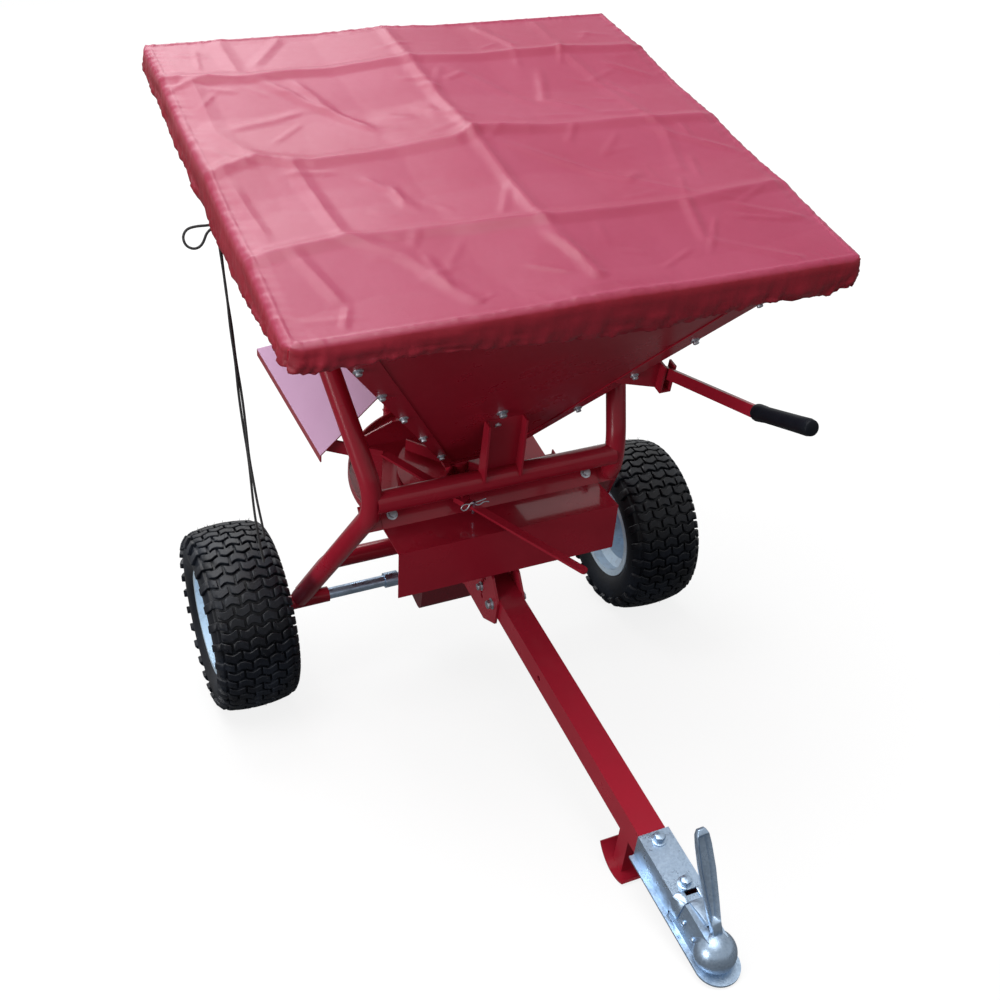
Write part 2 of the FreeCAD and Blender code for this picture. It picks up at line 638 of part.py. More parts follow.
def spinner():
    disc_low = size.pan_height + size.disc_above
    top = disc_low + size.disc_sheet + size.boss_rise
    spindle = Part.makeCylinder(size.spindle_dia / 2, top - size.spindle_foot,
                                Vector(0, 0, size.spindle_foot))
    keep("spindle", spindle)
    disc = Part.makeCylinder(size.disc_dia / 2, size.disc_sheet, Vector(0, 0, disc_low))
    boss = Part.makeCylinder(size.boss_dia / 2, size.boss_rise + size.disc_sheet, Vector(0, 0, disc_low))
    vanes = []
    for number in range(round(size.vane_count)):
        start = size.boss_dia / 2 - size.vane_sheet
        vane = Part.makeBox(size.disc_dia / 2 - 2 * size.vane_sheet - start, size.vane_sheet, size.vane_rise,
                            Vector(start, -size.vane_sheet / 2, disc_low + size.disc_sheet))
        vane.rotate(Vector(), Vector(0, 0, 1), 45 + 360 * number / size.vane_count)
        vanes.append(vane)
    keep("spinner_disc", disc.fuse([boss] + vanes).cut(spindle))


def spinner_pan():
    radius = size.pan_dia / 2
    under = size.pan_height - size.pan_sheet
    tray = Part.makeCylinder(radius, size.pan_sheet + size.pan_rim, Vector(0, 0, under))
    hollow = Part.makeCylinder(radius - size.pan_sheet, size.pan_rim, Vector(0, 0, size.pan_height))
    tab = Part.makeBox(2 * size.pan_tab_half, size.pan_tab_back - size.post_half, size.pan_sheet,
                       Vector(-size.pan_tab_half, size.post_half, under))
    eye = Part.makeCylinder(size.pan_eye_dia / 2, size.pan_dia, Vector())
    trim = Part.makeBox(radius, radius, size.pan_dia, Vector(size.pan_trim_x, 0, 0))
    room = [rod(post_route(side), [size.post_bend], size.post_dia) for side in (-1, 1)]
    keep("spinner_pan", tray.cut(hollow).fuse(tab).cut([eye, trim] + room))
    rise = "pan_height + baffle_rise"
    keep("pan_baffle", outline_body("pan_baffle", "XZ_Plane", [
        ("-baffle_half", "pan_height"), ("baffle_half", "pan_height"), ("baffle_half", rise),
        ("-baffle_slope_end", rise), ("-baffle_half", "pan_height + baffle_rise_end")],
        "pan_sheet", "-baffle_back"))


# ---- front shield ----------------------------------------------------------------------------
def front_shield_room():
    line = [Vector(-size.shield_back, size.shield_back_height, 0),
            Vector(-size.shield_fold, size.shield_fold_height, 0),
            Vector(-size.shield_front, size.shield_front_height, 0),
            Vector(-size.shield_low_front, size.shield_low_height, 0)]
    outline = folded(line, size.shield_sheet)
    face = polygon([Vector(-size.shield_half, point.x, point.y) for point in outline])
    return face.extrude(Vector(2 * size.shield_half, 0, 0))


def shield():
    """The folded shield and the two tabs on the legs that its back flange lies on."""
    keep("front_shield", front_shield_room())
    tab_line = [Vector(-size.shield_back, size.shield_back_height, 0),
                Vector(-size.shield_fold, size.shield_fold_height, 0)]
    outline = folded(tab_line, size.shield_sheet + size.shield_tab_sheet)
    upper = folded(tab_line, size.shield_sheet)
    tabs = []
    for side in (-1, 1):
        ordered = [upper[3], upper[2], outline[2], outline[3]]
        face = polygon([Vector(side * size.shield_tab_in, point.x, point.y) for point in ordered])
        tab = face.extrude(Vector(side * (size.knee_x + LEG_RADIUS - size.shield_tab_in), 0, 0))
        tabs.append(tab.cut(leg_rod(side)).Solids[0])
    keep("shield_tabs", Part.makeCompound(tabs))


# ---- side flap -------------------------------------------------------------------------------
def hinge_axis():
    across = half_width(size.flap_hinge_height) + size.flap_hinge_out
    return Vector(-across, 0, size.flap_hinge_height)


def flap_fall():
    """The direction down the resting flap, square to its hinge."""
    return Vector(-size.flap_out, 0, -size.flap_drop).normalize()


def flap_lug_places():
    """Where the fixed lugs of the hinge start along the machine."""
    back = back_face(size.flap_hinge_height) - size.hinge_knuckle
    return [-size.flap_front, (back - size.flap_front) / 2, back]


def flap():
    """The panel, wider at its free edge, with a lip turned down there and two knuckles."""
    pin = hinge_axis()
    knuckle = size.hinge_pin_dia / 2 + size.hinge_wall
    down = flap_fall()
    reach = math.hypot(size.flap_out, size.flap_drop)
    near = pin + down * (knuckle + size.hinge_wall)
    far = pin + down * reach
    flare = down * size.flap_flare
    corners = [near + Vector(0, -size.flap_front, 0), far + Vector(0, -size.flap_front, 0),
               far + flare + Vector(0, size.flap_outer_back, 0), near + Vector(0, size.flap_back, 0)]
    normal = Vector(-down.z, 0, down.x)
    panel = polygon(corners).extrude(normal * size.flap_sheet)
    drop = Vector(0, 0, -size.flap_lip)
    strip = polygon([corners[1], corners[2], corners[2] + drop, corners[1] + drop])
    sheet_shape = panel.fuse(strip.extrude(Vector(size.flap_sheet, 0, 0)))
    side = Vector(-down.z, 0, down.x)
    pieces = []
    hollows = []
    lugs = flap_lug_places()
    gap = size.hinge_gap
    for place in (lugs[0] + size.hinge_knuckle / 2 + gap, lugs[1] + size.hinge_knuckle / 2 + gap):
        base = Vector(pin.x, place, pin.z)
        pieces.append(Part.makeCylinder(knuckle, size.hinge_knuckle, base, Vector(0, 1, 0)))
        hollows.append(Part.makeCylinder(size.hinge_pin_dia / 2 + gap, size.hinge_knuckle, base,
                                         Vector(0, 1, 0)))
        web = polygon([base, base + down * (knuckle + 2 * size.hinge_wall),
                       base + down * (knuckle + 2 * size.hinge_wall) + side * size.flap_sheet,
                       base + side * size.flap_sheet])
        pieces.append(web.extrude(Vector(0, size.hinge_knuckle, 0)))
    keep("deflector_flap", sheet_shape.fuse(pieces).cut(hollows).removeSplitter())


def flap_hinge():
    """The fixed pin and the lugs that hold it to the hopper's side."""
    pin = hinge_axis()
    lugs = flap_lug_places()
    long = lugs[-1] + size.hinge_knuckle / 2 - lugs[0]
    bar = Part.makeCylinder(size.hinge_pin_dia / 2, long, Vector(pin.x, lugs[0], pin.z), Vector(0, 1, 0))
    height = size.hinge_pin_dia + 2 * size.hinge_wall
    reach = size.flap_hinge_out + size.hinge_pin_dia
    pieces = []
    for place in lugs:
        pieces.append(Part.makeBox(reach, size.hinge_knuckle / 2, height,
                                   Vector(pin.x, place, pin.z - height / 2)))
        pieces.append(Part.makeCylinder(height / 2, size.hinge_knuckle / 2, Vector(pin.x, place, pin.z),
                                        Vector(0, 1, 0)))
    keep("flap_hinge", bar.fuse(pieces).cut(hopper_room()))


def stay_shape():
    """A flat bar on edge under the flap, on a post that stands in the pan."""
    inner = Vector(-size.stay_inner_x, -size.stay_inner_front, 0)
    outer = Vector(-size.stay_outer_x, size.stay_outer_back, 0)
    run = outer - inner
    long = run.Length
    run.normalize()
    low = size.stay_level - size.stay_height / 2
    outer_low = size.stay_outer_level - size.stay_height / 2
    knee = low + (outer_low - low) * size.stay_post_wide / long
    outline = [(0, size.pan_height), (0, low + size.stay_height), (long, outer_low + size.stay_height),
               (long, outer_low), (size.stay_post_wide, knee), (size.stay_post_wide, size.pan_height)]
    face = polygon([inner + run * along + Vector(0, 0, up) for along, up in outline])
    across = Vector(-run.y, run.x, 0) * size.stay_sheet
    block = face.extrude(across)
    return block.cut(flap_room())


def flap_room():
    """Everything above the resting flap's underside, and just below it."""
    pin = hinge_axis()
    down = flap_fall()
    side = Vector(-down.z, 0, down.x)
    under = size.flap_sheet + size.hinge_gap
    corner = pin + side * under
    wide = 2 * size.flap_outer_back
    face = polygon([corner - down * wide, corner + down * wide, corner + down * wide - side * wide,
                    corner - down * wide - side * wide])
    face.translate(Vector(0, -wide, 0))
    return face.extrude(Vector(0, 2 * wide, 0))


# ---- control bar -----------------------------------------------------------------------------
def bar_along(start, end, width, height, rounded=False):
    """A flat bar between two points, its broad face up, its far end rounded if asked."""
    run = end - start
    long = run.Length
    straight = long - width / 2 if rounded else long
    shape = Part.makeBox(straight, width, height, Vector(0, -width / 2, -height / 2))
    if rounded:
        shape = shape.fuse(Part.makeCylinder(width / 2, height, Vector(straight, 0, -height / 2)))
    side = Vector(0, 0, 1).cross(run)
    shape.Placement = Placement(start, Rotation(run, side, Vector(), "XYZ"))
    return shape.removeSplitter()


def control_bar():
    """The flap's pull bar, in a guide under the crossbar, with the pin that stops it."""
    start = Vector(-size.stay_inner_x, -size.stay_inner_front, size.control_start_level)
    tip = Vector(size.control_tip_x, -size.control_tip_front, size.control_tip_level)
    bar = bar_along(start, tip, size.control_wide, size.control_thick, True)
    run = (tip - start).normalize()
    below = start + run * ((-size.crossbar_front - start.y) / run.y)
    half = run * (size.guide_long / 2)
    gap = 2 * size.plate_gap
    outer = bar_along(below - half, below + half, size.control_wide + 2 * size.guide_wall + gap,
                      size.control_thick + 2 * size.guide_wall + gap)
    hole = bar_along(below - half * 2, below + half * 2, size.control_wide + gap, size.control_thick + gap)
    hanger = Part.makeCylinder(size.guide_wall, size.crossbar_height - below.z, below)
    keep("control_guide", outer.fuse(hanger).cut([hole, crossbar_rod()]))
    pin_place = below + half + run * size.control_wide
    pin = Part.makeCylinder(size.hinge_pin_dia / 2, 5 * size.hinge_pin_dia,
                            pin_place - Vector(0, 0, 3 * size.hinge_pin_dia))
    pin = pin.cut(front_shield_room())
    keep("control_pin", pin)
    keep("control_bar", bar.cut([pin, stay_shape()]))


# ---- drawbar, foot and coupler ---------------------------------------------------------------
def drawbar_plates():
    top = "pan_height - pan_sheet"
    outline = [("-plate_nose", "plate_nose_low"), ("-plate_nose", "plate_nose_high"),
               ("-plate_shoulder", "plate_shoulder_height"), ("-plate_top_front", top),
               ("-plate_top_back", top), ("plate_back", "arch_height + leg_dia / 2"),
               ("plate_back", "gearbox_top"), ("-plate_low_front", "gearbox_top"),
               ("-plate_elbow", "plate_elbow_height"), ("-plate_belly", "plate_belly_height")]
    holes = [("-pivot_front", "pivot_height", "pivot_hole")]
    for number in range(round(size.set_count)):
        angle = "(%d * set_pitch - drawbar_rise) * 1deg" % (number - 2)
        holes.append(("-pivot_front + set_radius * cos(%s)" % angle,
                      "pivot_height + set_radius * sin(%s)" % angle, "set_hole"))
    inner = "drawbar_size / 2 + plate_gap"
    for word, offset in (("left", "-(%s) - plate_sheet" % inner), ("right", inner)):
        name = "drawbar_plate_" + word
        plate = outline_body(name, "YZ_Plane", outline, "plate_sheet", offset, holes)
        room = doc.addObject("Part::Feature", name + "_arch_room")
        room.Shape = arch_rod()
        keep(name, cut(name, plate, room))


def drawbar():
    half = "drawbar_size / 2"
    core = "drawbar_size / 2 - drawbar_wall"
    tube = box("drawbar_outer", ("-" + half, "-drawbar_reach", "-" + half), (half, "drawbar_tail", half))
    hollow = box("drawbar_core", ("-(%s)" % core, "-drawbar_reach", "-(%s)" % core),
                 (core, "drawbar_tail", core))
    tools = [hollow]
    for name, along, diameter in (("pivot", "0", "pivot_hole"), ("set", "set_radius", "set_hole"),
                                  ("side", "-side_hole", "set_hole")):
        tools.append(cylinder("drawbar_%s_hole" % name, diameter + " / 2", "2 * drawbar_size",
                              ("-drawbar_size", along, "0"), ALONG_X))
    keep("drawbar", cut("drawbar", tube, *tools), drawbar_layout())
    reach = size.drawbar_size / 2 + size.plate_gap + size.plate_sheet
    for name, along, hole in (("pivot_bolt", 0, size.pivot_hole),
                              ("set_bolt", size.set_radius, size.set_hole)):
        head_radius = size.bolt_head_ratio * hole / 2
        shank_radius = hole / 2 - size.bolt_gap
        shank = Part.makeCylinder(shank_radius, 2 * reach, Vector(-reach, along, 0), Vector(1, 0, 0))
        head = Part.makeCylinder(head_radius, size.bolt_head, Vector(-reach - size.bolt_head, along, 0),
                                 Vector(1, 0, 0))
        nut = Part.makeCylinder(head_radius, size.bolt_head, Vector(reach, along, 0), Vector(1, 0, 0))
        keep(name, shank.fuse([head, nut]), drawbar_layout())


def foot():
    """A tube leg under the drawbar on a curved skid."""
    centre = Vector(0, -size.foot_along, -size.foot_depth)
    half = size.skid_width / 2
    outer = size.skid_dia / 2
    axis = Vector(1, 0, 0)
    ring = Part.makeCylinder(outer, 2 * half, centre - axis * half, axis)
    ring = ring.cut(Part.makeCylinder(outer - size.skid_sheet, 2 * half, centre - axis * half, axis))
    fan = []
    for turn in (-size.skid_half_angle, 0, size.skid_half_angle):
        angle = math.radians(turn + size.skid_turn)
        fan.append(centre - axis * half + Vector(0, math.sin(angle), -math.cos(angle)) * 2 * outer)
    wedge = polygon([centre - axis * half] + fan).extrude(axis * 2 * half)
    keep("foot_skid", ring.common(wedge), drawbar_layout())
    top = -size.drawbar_size / 2
    low = -size.foot_depth - outer
    front = size.foot_leg_ahead - size.foot_along - size.foot_leg_long
    tube = Part.makeBox(size.drawbar_size, size.foot_leg_long, top - low,
                        Vector(-size.drawbar_size / 2, front, low))
    wall = size.drawbar_wall
    core = Part.makeBox(size.drawbar_size - 2 * wall, size.foot_leg_long - 2 * wall, top - low,
                        Vector(wall - size.drawbar_size / 2, wall + front, low))
    room = Part.makeCylinder(outer - size.skid_sheet, 2 * half, centre - axis * half, axis)
    keep("foot_leg", tube.cut(core).common(room.fuse(Part.makeBox(
        size.drawbar_size, size.foot_leg_long, top + size.foot_depth,
        Vector(-size.drawbar_size / 2, front, -size.foot_depth)))),
        drawbar_layout())


def coupler_ring(half_width, rear, height, back_off=0):
    """A level quadrilateral of the coupler's neck, from its shoulder to the ball."""
    front = back_off - size.ball_along
    return [Vector(-half_width, front, height), Vector(half_width, front, height),
            Vector(half_width, -rear, height), Vector(-half_width, -rear, height)]


def coupler():
    """A pressed-steel coupler: a channel over the drawbar that runs into the ball's dome."""
    half = size.drawbar_size / 2
    wall = size.coupler_wall
    dome = size.dome_dia / 2
    ball = Vector(0, -size.ball_along, -size.ball_drop)
    channel = Part.makeBox(2 * (half + wall), size.coupler_shoulder - size.coupler_rear, 2 * half + wall,
                           Vector(-half - wall, -size.coupler_shoulder, -half))
    hollow = Part.makeBox(2 * half, size.coupler_shoulder - size.coupler_rear, 2 * half,
                          Vector(-half, -size.coupler_shoulder, -half))
    neck = slab(coupler_ring(half + wall, size.coupler_shoulder, -half),
                coupler_ring(size.coupler_neck_half, size.coupler_shoulder + 2 * wall, size.coupler_neck_top))
    neck_hollow = slab(coupler_ring(half, size.coupler_shoulder, -half, dome),
                       coupler_ring(size.coupler_neck_half - wall, size.coupler_shoulder + 3 * wall,
                                    size.coupler_neck_top - wall, dome))
    under = Vector(-2 * dome, -2 * dome, size.ball_drop - half - 2 * dome)
    low = Part.makeBox(4 * dome, 4 * dome, 2 * dome, ball + under)
    cap = Part.makeSphere(dome, ball).cut(low)
    lip_half = half + wall + size.lip_width
    lip = Part.makeBox(2 * lip_half, size.nose_along - size.coupler_rear, size.lip_thick,
                       Vector(-lip_half, -size.nose_along, -half))
    nose = Part.makeCylinder(lip_half, size.lip_thick, Vector(0, -size.nose_along, -half))
    ball_room = Part.makeSphere(size.ball_dia / 2 + size.ball_gap, ball)
    throat = Part.makeCylinder(size.ball_dia / 2 + size.ball_gap, size.drawbar_size,
                               ball - Vector(0, 0, size.drawbar_size))
    whole = channel.fuse([neck, cap, lip, nose]).cut([hollow, neck_hollow, ball_room, throat])
    keep("coupler_body", whole, drawbar_layout())
    base = Vector(size.handle_out, -size.handle_along, size.handle_up)
    tip = Vector(0, -size.handle_tip_along, size.handle_tip_up)
    run = tip - base
    grip = Part.makeBox(size.handle_wide, size.handle_thick, run.Length)
    grip.translate(Vector(-size.handle_wide / 2, -size.handle_thick / 2, 0))
    grip.Placement = Placement(base, Rotation(Vector(0, 0, 1), run)).multiply(grip.Placement)
    keep("coupler_handle", grip.cut(whole), drawbar_layout())


# ---- gate lever ------------------------------------------------------------------------------
def lever():
    """A flat lever on a lug of the right leg, with its grip."""
    thick = size.lever_thick
    pivot = Vector(size.lever_x - thick / 2, -size.lever_pivot_front, size.lever_pivot_height)
    elbow = Vector(pivot.x, -size.lever_grip_front, size.lever_grip_height)
    tip = Vector(pivot.x, -size.lever_tip_front, size.lever_tip_height)
    half = size.lever_wide / 2
    run = (elbow - pivot).normalize()
    far = (tip - elbow).normalize()
    up = Vector(0, -run.z, run.y)
    far_up = Vector(0, -far.z, far.y)
    blade = polygon([pivot + up * half, elbow + up * half, elbow - up * half, pivot - up * half])
    shank_half = size.grip_dia / 2 - thick
    shank = polygon([elbow + far_up * shank_half, tip + far_up * shank_half, tip - far_up * shank_half,
                     elbow - far_up * shank_half])
    solid = blade.extrude(Vector(thick, 0, 0)).fuse([
        shank.extrude(Vector(thick, 0, 0)),
        Part.makeCylinder(half, thick, pivot, Vector(1, 0, 0)),
        Part.makeCylinder(half, thick, elbow, Vector(1, 0, 0))])
    pin_radius = size.lever_pin_dia / 2
    hole = Part.makeCylinder(pin_radius + size.running_gap, thick, pivot, Vector(1, 0, 0))
    keep("gate_lever", solid.cut(hole))
    middle = Vector(size.lever_x, tip.y, tip.z)
    grip = Part.makeCylinder(size.grip_dia / 2, size.grip_length, middle + far * thick, far * -1)
    keep("lever_grip", grip.cut(solid))
    back = size.lever_lug_sheet + size.lever_gap
    lug_face = pivot - Vector(back, 0, 0)
    along = (leg_route(1)[2] - leg_route(1)[1])
    to_leg = Vector(0, along.z, -along.y).normalize()
    lug_half = size.lever_lug_wide / 2
    side = Vector(0, -to_leg.z, to_leg.y)
    strip = polygon([lug_face + side * lug_half, lug_face + side * lug_half + to_leg * size.lever_lug_wide,
                     lug_face - side * lug_half + to_leg * size.lever_lug_wide, lug_face - side * lug_half])
    lug = strip.extrude(Vector(size.lever_lug_sheet, 0, 0)).fuse(
        Part.makeCylinder(lug_half, size.lever_lug_sheet, lug_face, Vector(1, 0, 0)))
    head = Part.makeCylinder(size.pin_head_ratio * pin_radius, size.bolt_head,
                             pivot + Vector(thick + size.lever_gap, 0, 0), Vector(1, 0, 0))
    pin = Part.makeCylinder(pin_radius, back + thick + size.lever_gap, lug_face, Vector(1, 0, 0))
    keep("lever_lug", lug.removeSplitter().fuse([pin, head]).cut(leg_rod(1)))


def quadrant_middle():
    """The height at which the resting lever passes through its guide."""
    slope = (size.lever_grip_height - size.lever_pivot_height) / (
        size.lever_grip_front - size.lever_pivot_front)
    steep = (size.mouth_front - size.outlet_front) / HOPPER_RISE
    ahead = size.outlet_front - steep * size.outlet_height + size.quadrant_strip / 2
    return (size.lever_pivot_height - size.quadrant_below
            + slope * (ahead - size.lever_pivot_front)) / (1 - slope * steep)


def quadrant():
    """The lever's guide: a plate from the hopper's corner, folded round the lever."""
    inner = size.lever_x - size.lever_thick / 2 - size.quadrant_gap
    outer = size.lever_x + size.lever_thick / 2 + size.quadrant_gap
    middle = quadrant_middle()
    face = front_face(middle)
    low = middle - size.quadrant_rise / 2
    wall = size.quadrant_sheet
    front = -face - size.quadrant_strip
    channel = Part.makeBox(outer - inner + 2 * wall, size.quadrant_strip, size.quadrant_rise,
                           Vector(inner - wall, front, low))
    slot = Part.makeBox(outer - inner, size.quadrant_strip, size.quadrant_rise,
                        Vector(inner, front, low + wall))
    edge_x = half_width(middle) - flange_width(middle)
    corners = [Vector(edge_x, -face, low + size.quadrant_rise / 2),
               Vector(edge_x, -face, low + size.quadrant_rise),
               Vector(inner, -face, low + size.quadrant_rise),
               Vector(inner, -face, low)]
    plate = polygon(corners).extrude(Vector(0, -wall, 0))
    room = hopper_slab(lambda z: (-half_width(z), half_width(z), -front_face(z), back_face(z)))
    keep("quadrant_bracket", channel.cut(slot).fuse(plate).removeSplitter().cut(room))


# ---- cover and drawcord ----------------------------------------------------------------------
def cover_layer(inset):
    """The cover's outer form, or its hollow: upright at the rim, then drawn in to the hem."""
    def ring(half_x, front, back, height):
        return [Vector(inset - half_x, inset - front, height), Vector(half_x - inset, inset - front, height),
                Vector(half_x - inset, back - inset, height), Vector(inset - half_x, back - inset, height)]

    sizes = size.cover_half_x, size.cover_front, size.cover_back
    top = ring(*sizes, size.cover_top - inset)
    rim_end = ring(*sizes, size.cover_top - size.cover_drop)
    hem = ring(size.hem_half_x, size.hem_front, size.hem_back, size.cover_top - size.cover_skirt)
    return slab(rim_end, top).fuse(slab(hem, rim_end)).removeSplitter()


def cover():
    keep("cover", cover_layer(0).cut(cover_layer(size.cover_cloth)))


# Each route is in the cord's own upright layout, in millimetres from the middle of the knot.
LONG_TAIL = ((-2, -2, 0), (-1, -3, -56), (0, -3, -114), (-2, -2, -172), (-1, -3, -230), (-3, -1, -288),
             (-2, 2, -346), (0, 3, -404), (-1, 3, -452), (-3, 1, -500), (-3, -2, -546), (-1, -2, -590),
             (2, 0, -616))
SHORT_TAIL = ((2, 2, 0), (1, 3, -56), (0, 3, -114), (2, 2, -172), (1, 3, -230), (3, 1, -288),
              (2, -2, -346), (0, -3, -404), (2, -3, -452), (4, -2, -496), (7, -3, -536), (9, -2, -565))
LOOP = ((0, 2, 2), (-15, 3, 1), (-31, 4, 2), (-49, 4, 0), (-58, 2, -12), (-55, 0, -27), (-42, -2, -34),
        (-28, -3, -28), (-17, -3, -4), (0, -3, 0))


def cord_bends(points):
    """The largest tangent arcs that the runs leave room for."""
    bends = []
    for before, corner, after in zip(points, points[1:], points[2:]):
        back = before - corner
        ahead = after - corner
        half_turn = (math.pi - back.getAngle(ahead)) / 2
        bends.append(0.45 * min(back.Length, ahead.Length) / math.tan(half_turn))
    return bends


def drawcord():
    """The knot at the hem, the bow's loop and the two tails that hang from it."""
    knot_radius = size.knot_dia / 2
    below = math.sqrt((knot_radius + size.soft_gap) ** 2 - size.knot_out ** 2)
    knot = Vector(-size.hem_half_x - size.knot_out, size.knot_back,
                  size.cover_top - size.cover_skirt - below)
    upright = Placement(knot, Rotation(Vector(1, 0, 0), -parked_tilt()))
    ball = Part.makeSphere(knot_radius)
    keep("drawcord_knot", ball, upright)
    for name, route in (("drawcord_tail_long", LONG_TAIL), ("drawcord_tail_short", SHORT_TAIL),
                        ("drawcord_loop", LOOP)):
        points = [Vector(*place) for place in route]
        bends = cord_bends(points)
        tube = rod(points, bends, size.cord_dia)
        length = bent_path(points, bends).Length
        full = math.pi * size.cord_dia ** 2 / 4 * length
        print("%s: length %.1f, volume ratio %.4f, radii %s" % (
            name, length, tube.Volume / full, ", ".join("%.0f" % bend for bend in bends)))
        keep(name, tube.cut(ball), upright)


# ---- the whole machine -----------------------------------------------------------------------
def park():
    """Moves the parked machine so that its box is centred on the origin, seen from above."""
    solid = FreeCAD.BoundBox()
    for part in parts:
        if not part.Label.startswith("drawcord"):
            solid.add(part.Shape.BoundBox)
    shift = Placement(Vector(0, -(solid.YMin + solid.YMax) / 2, 0), Rotation())
    for part in parts:
        part.Placement = shift.multiply(part.Placement)
    print("tilt %.3f degrees, shift %.3f mm" % (parked_tilt(), shift.Base.y))


def check_and_write():
    doc.recompute()
    for item in doc.Objects:
        if "Invalid" in item.State or "Error" in item.State:
            raise RuntimeError("%s failed: %s" % (item.Label, item.State))
    for part in parts:
        if part.Shape.isNull() or not part.Shape.isValid() or not part.Shape.Solids:
            raise RuntimeError("%s has no valid solid" % part.Label)
    os.makedirs("parts", exist_ok=True)
    for part in parts:
        part.Shape.exportStep("parts/%s.step" % part.Label)
    print("%d sub-parts written" % len(parts))


wheels()
axle()
sleeves()
legs()
crossbar()
arch()
posts()
hopper()
hopper_rim()
outlet()
hopper_bracket()
gearbox()
spinner()
spinner_pan()
shield()
flap()
flap_hinge()
keep("deflector_stay", stay_shape())
control_bar()
drawbar_plates()
drawbar()
foot()
coupler()
lever()
quadrant()
cover()
drawcord()
doc.recompute()
park()
check_and_write()
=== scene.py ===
"""Towable salt spreader, dressed over its frame: cover, tyres, coupler, cords, bolts and finishes."""

import json
import math
import random

import bmesh
import bpy
from mathutils import Matrix, Vector, noise


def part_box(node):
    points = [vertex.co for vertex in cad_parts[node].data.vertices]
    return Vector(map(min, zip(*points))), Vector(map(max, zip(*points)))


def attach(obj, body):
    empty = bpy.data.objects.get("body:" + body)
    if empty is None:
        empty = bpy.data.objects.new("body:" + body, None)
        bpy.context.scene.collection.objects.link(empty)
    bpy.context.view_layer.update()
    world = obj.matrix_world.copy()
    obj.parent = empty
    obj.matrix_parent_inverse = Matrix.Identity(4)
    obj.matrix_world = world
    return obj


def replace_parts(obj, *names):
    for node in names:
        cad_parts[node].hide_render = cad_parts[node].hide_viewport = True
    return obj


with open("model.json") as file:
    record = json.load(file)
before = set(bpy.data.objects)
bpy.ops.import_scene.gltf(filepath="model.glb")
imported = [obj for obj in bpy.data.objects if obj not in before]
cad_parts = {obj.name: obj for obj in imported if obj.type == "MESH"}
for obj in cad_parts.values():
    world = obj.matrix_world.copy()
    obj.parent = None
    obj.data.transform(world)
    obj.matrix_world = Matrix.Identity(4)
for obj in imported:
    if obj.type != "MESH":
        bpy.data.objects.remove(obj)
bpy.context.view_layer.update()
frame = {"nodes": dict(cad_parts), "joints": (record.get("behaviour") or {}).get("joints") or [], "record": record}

# ---- layouts -------------------------------------------------------------------------------
JOINTS = {joint["name"]: joint for joint in frame["joints"]}
AXLE = Vector(JOINTS["axle_turn"]["pos_m"])
ACROSS = Vector((1, 0, 0))
UP = Vector(JOINTS["spinner_turn"]["axis"])
BACK = UP.cross(ACROSS)
LEVEL = Matrix((ACROSS, BACK, UP)).transposed().to_4x4()
LEVEL.translation = AXLE
DRAWBAR = LEVEL @ Matrix.Translation((0, -0.295, 0.201)) @ Matrix.Rotation(math.radians(-4.37), 4, "X")
UPRIGHT = Matrix.Translation(LEVEL @ Vector((-0.47, 0.0155, 0.9469)))


# ---- finishes ------------------------------------------------------------------------------
class Wire:
    """A node's output; arithmetic with it adds Math nodes."""

    def __init__(self, finish, socket):
        self.finish = finish
        self.socket = socket

    def math(self, operation, *values):
        return self.finish.node("ShaderNodeMath", {"operation": operation}, dict(enumerate(values)))

    def __add__(self, other):
        return self.math("ADD", self, other)

    def __mul__(self, other):
        return self.math("MULTIPLY", self, other)

    __radd__ = __add__
    __rmul__ = __mul__


class Finish:
    """A material of this machine, with its shader and the places on the piece."""

    def __init__(self, name, color, roughness, **settings):
        self.material = bpy.data.materials.new(name)
        self.material.use_nodes = True
        self.tree = self.material.node_tree
        self.shader = self.tree.nodes["Principled BSDF"]
        self.set("Base Color", (*color, 1))
        self.set("Roughness", roughness)
        for socket, value in settings.items():
            self.set(socket.replace("_", " "), value)
        self.place = self.node("ShaderNodeTexCoord", out="Object")

    def node(self, kind, settings=None, inputs=None, out=0):
        made = self.tree.nodes.new(kind)
        for setting, value in (settings or {}).items():
            if setting == "stops":
                for stop, (position, color) in zip(made.color_ramp.elements, value):
                    stop.position = position
                    stop.color = (*color, 1)
            else:
                setattr(made, setting, value)
        for socket, value in (inputs or {}).items():
            if isinstance(value, Wire):
                self.tree.links.new(value.socket, made.inputs[socket])
            else:
                made.inputs[socket].default_value = value
        return Wire(self, made.outputs[out])

    def set(self, socket, value):
        if isinstance(value, Wire):
            self.tree.links.new(value.socket, self.shader.inputs[socket])
        else:
            self.shader.inputs[socket].default_value = value

    def speckle(self, scale, detail=4, roughness=0.55):
        return self.node("ShaderNodeTexNoise", None, {
            "Vector": self.place, "Scale": scale, "Detail": detail, "Roughness": roughness})

    def cells(self, scale):
        return self.node("ShaderNodeTexVoronoi", None, {"Vector": self.place, "Scale": scale}, "Distance")

    def facing_up(self, low, high):
        """0 where the surface's own normal rises less than low, 1 where it rises more than high."""
        outward = self.node("ShaderNodeTexCoord", out="Normal")
        return self.ramp(self.node("ShaderNodeSeparateXYZ", None, {0: outward}, "Z"), low, high)

    def ramp(self, fac, low, high):
        """0 below low, 1 above high."""
        return self.node("ShaderNodeMapRange", {"clamp": True}, {
            "Value": fac, "From Min": low, "From Max": high})

    def blend(self, fac, first, second):
        return self.node("ShaderNodeMix", {"data_type": "RGBA"}, {
            "Factor": fac, 6: first if isinstance(first, Wire) else (*first, 1),
            7: second if isinstance(second, Wire) else (*second, 1)}, 2)

    def bump(self, height, distance, strength=1.0, under=None):
        inputs = {"Height": height, "Distance": distance, "Strength": strength}
        if under:
            inputs["Normal"] = under
        return self.node("ShaderNodeBump", None, inputs)


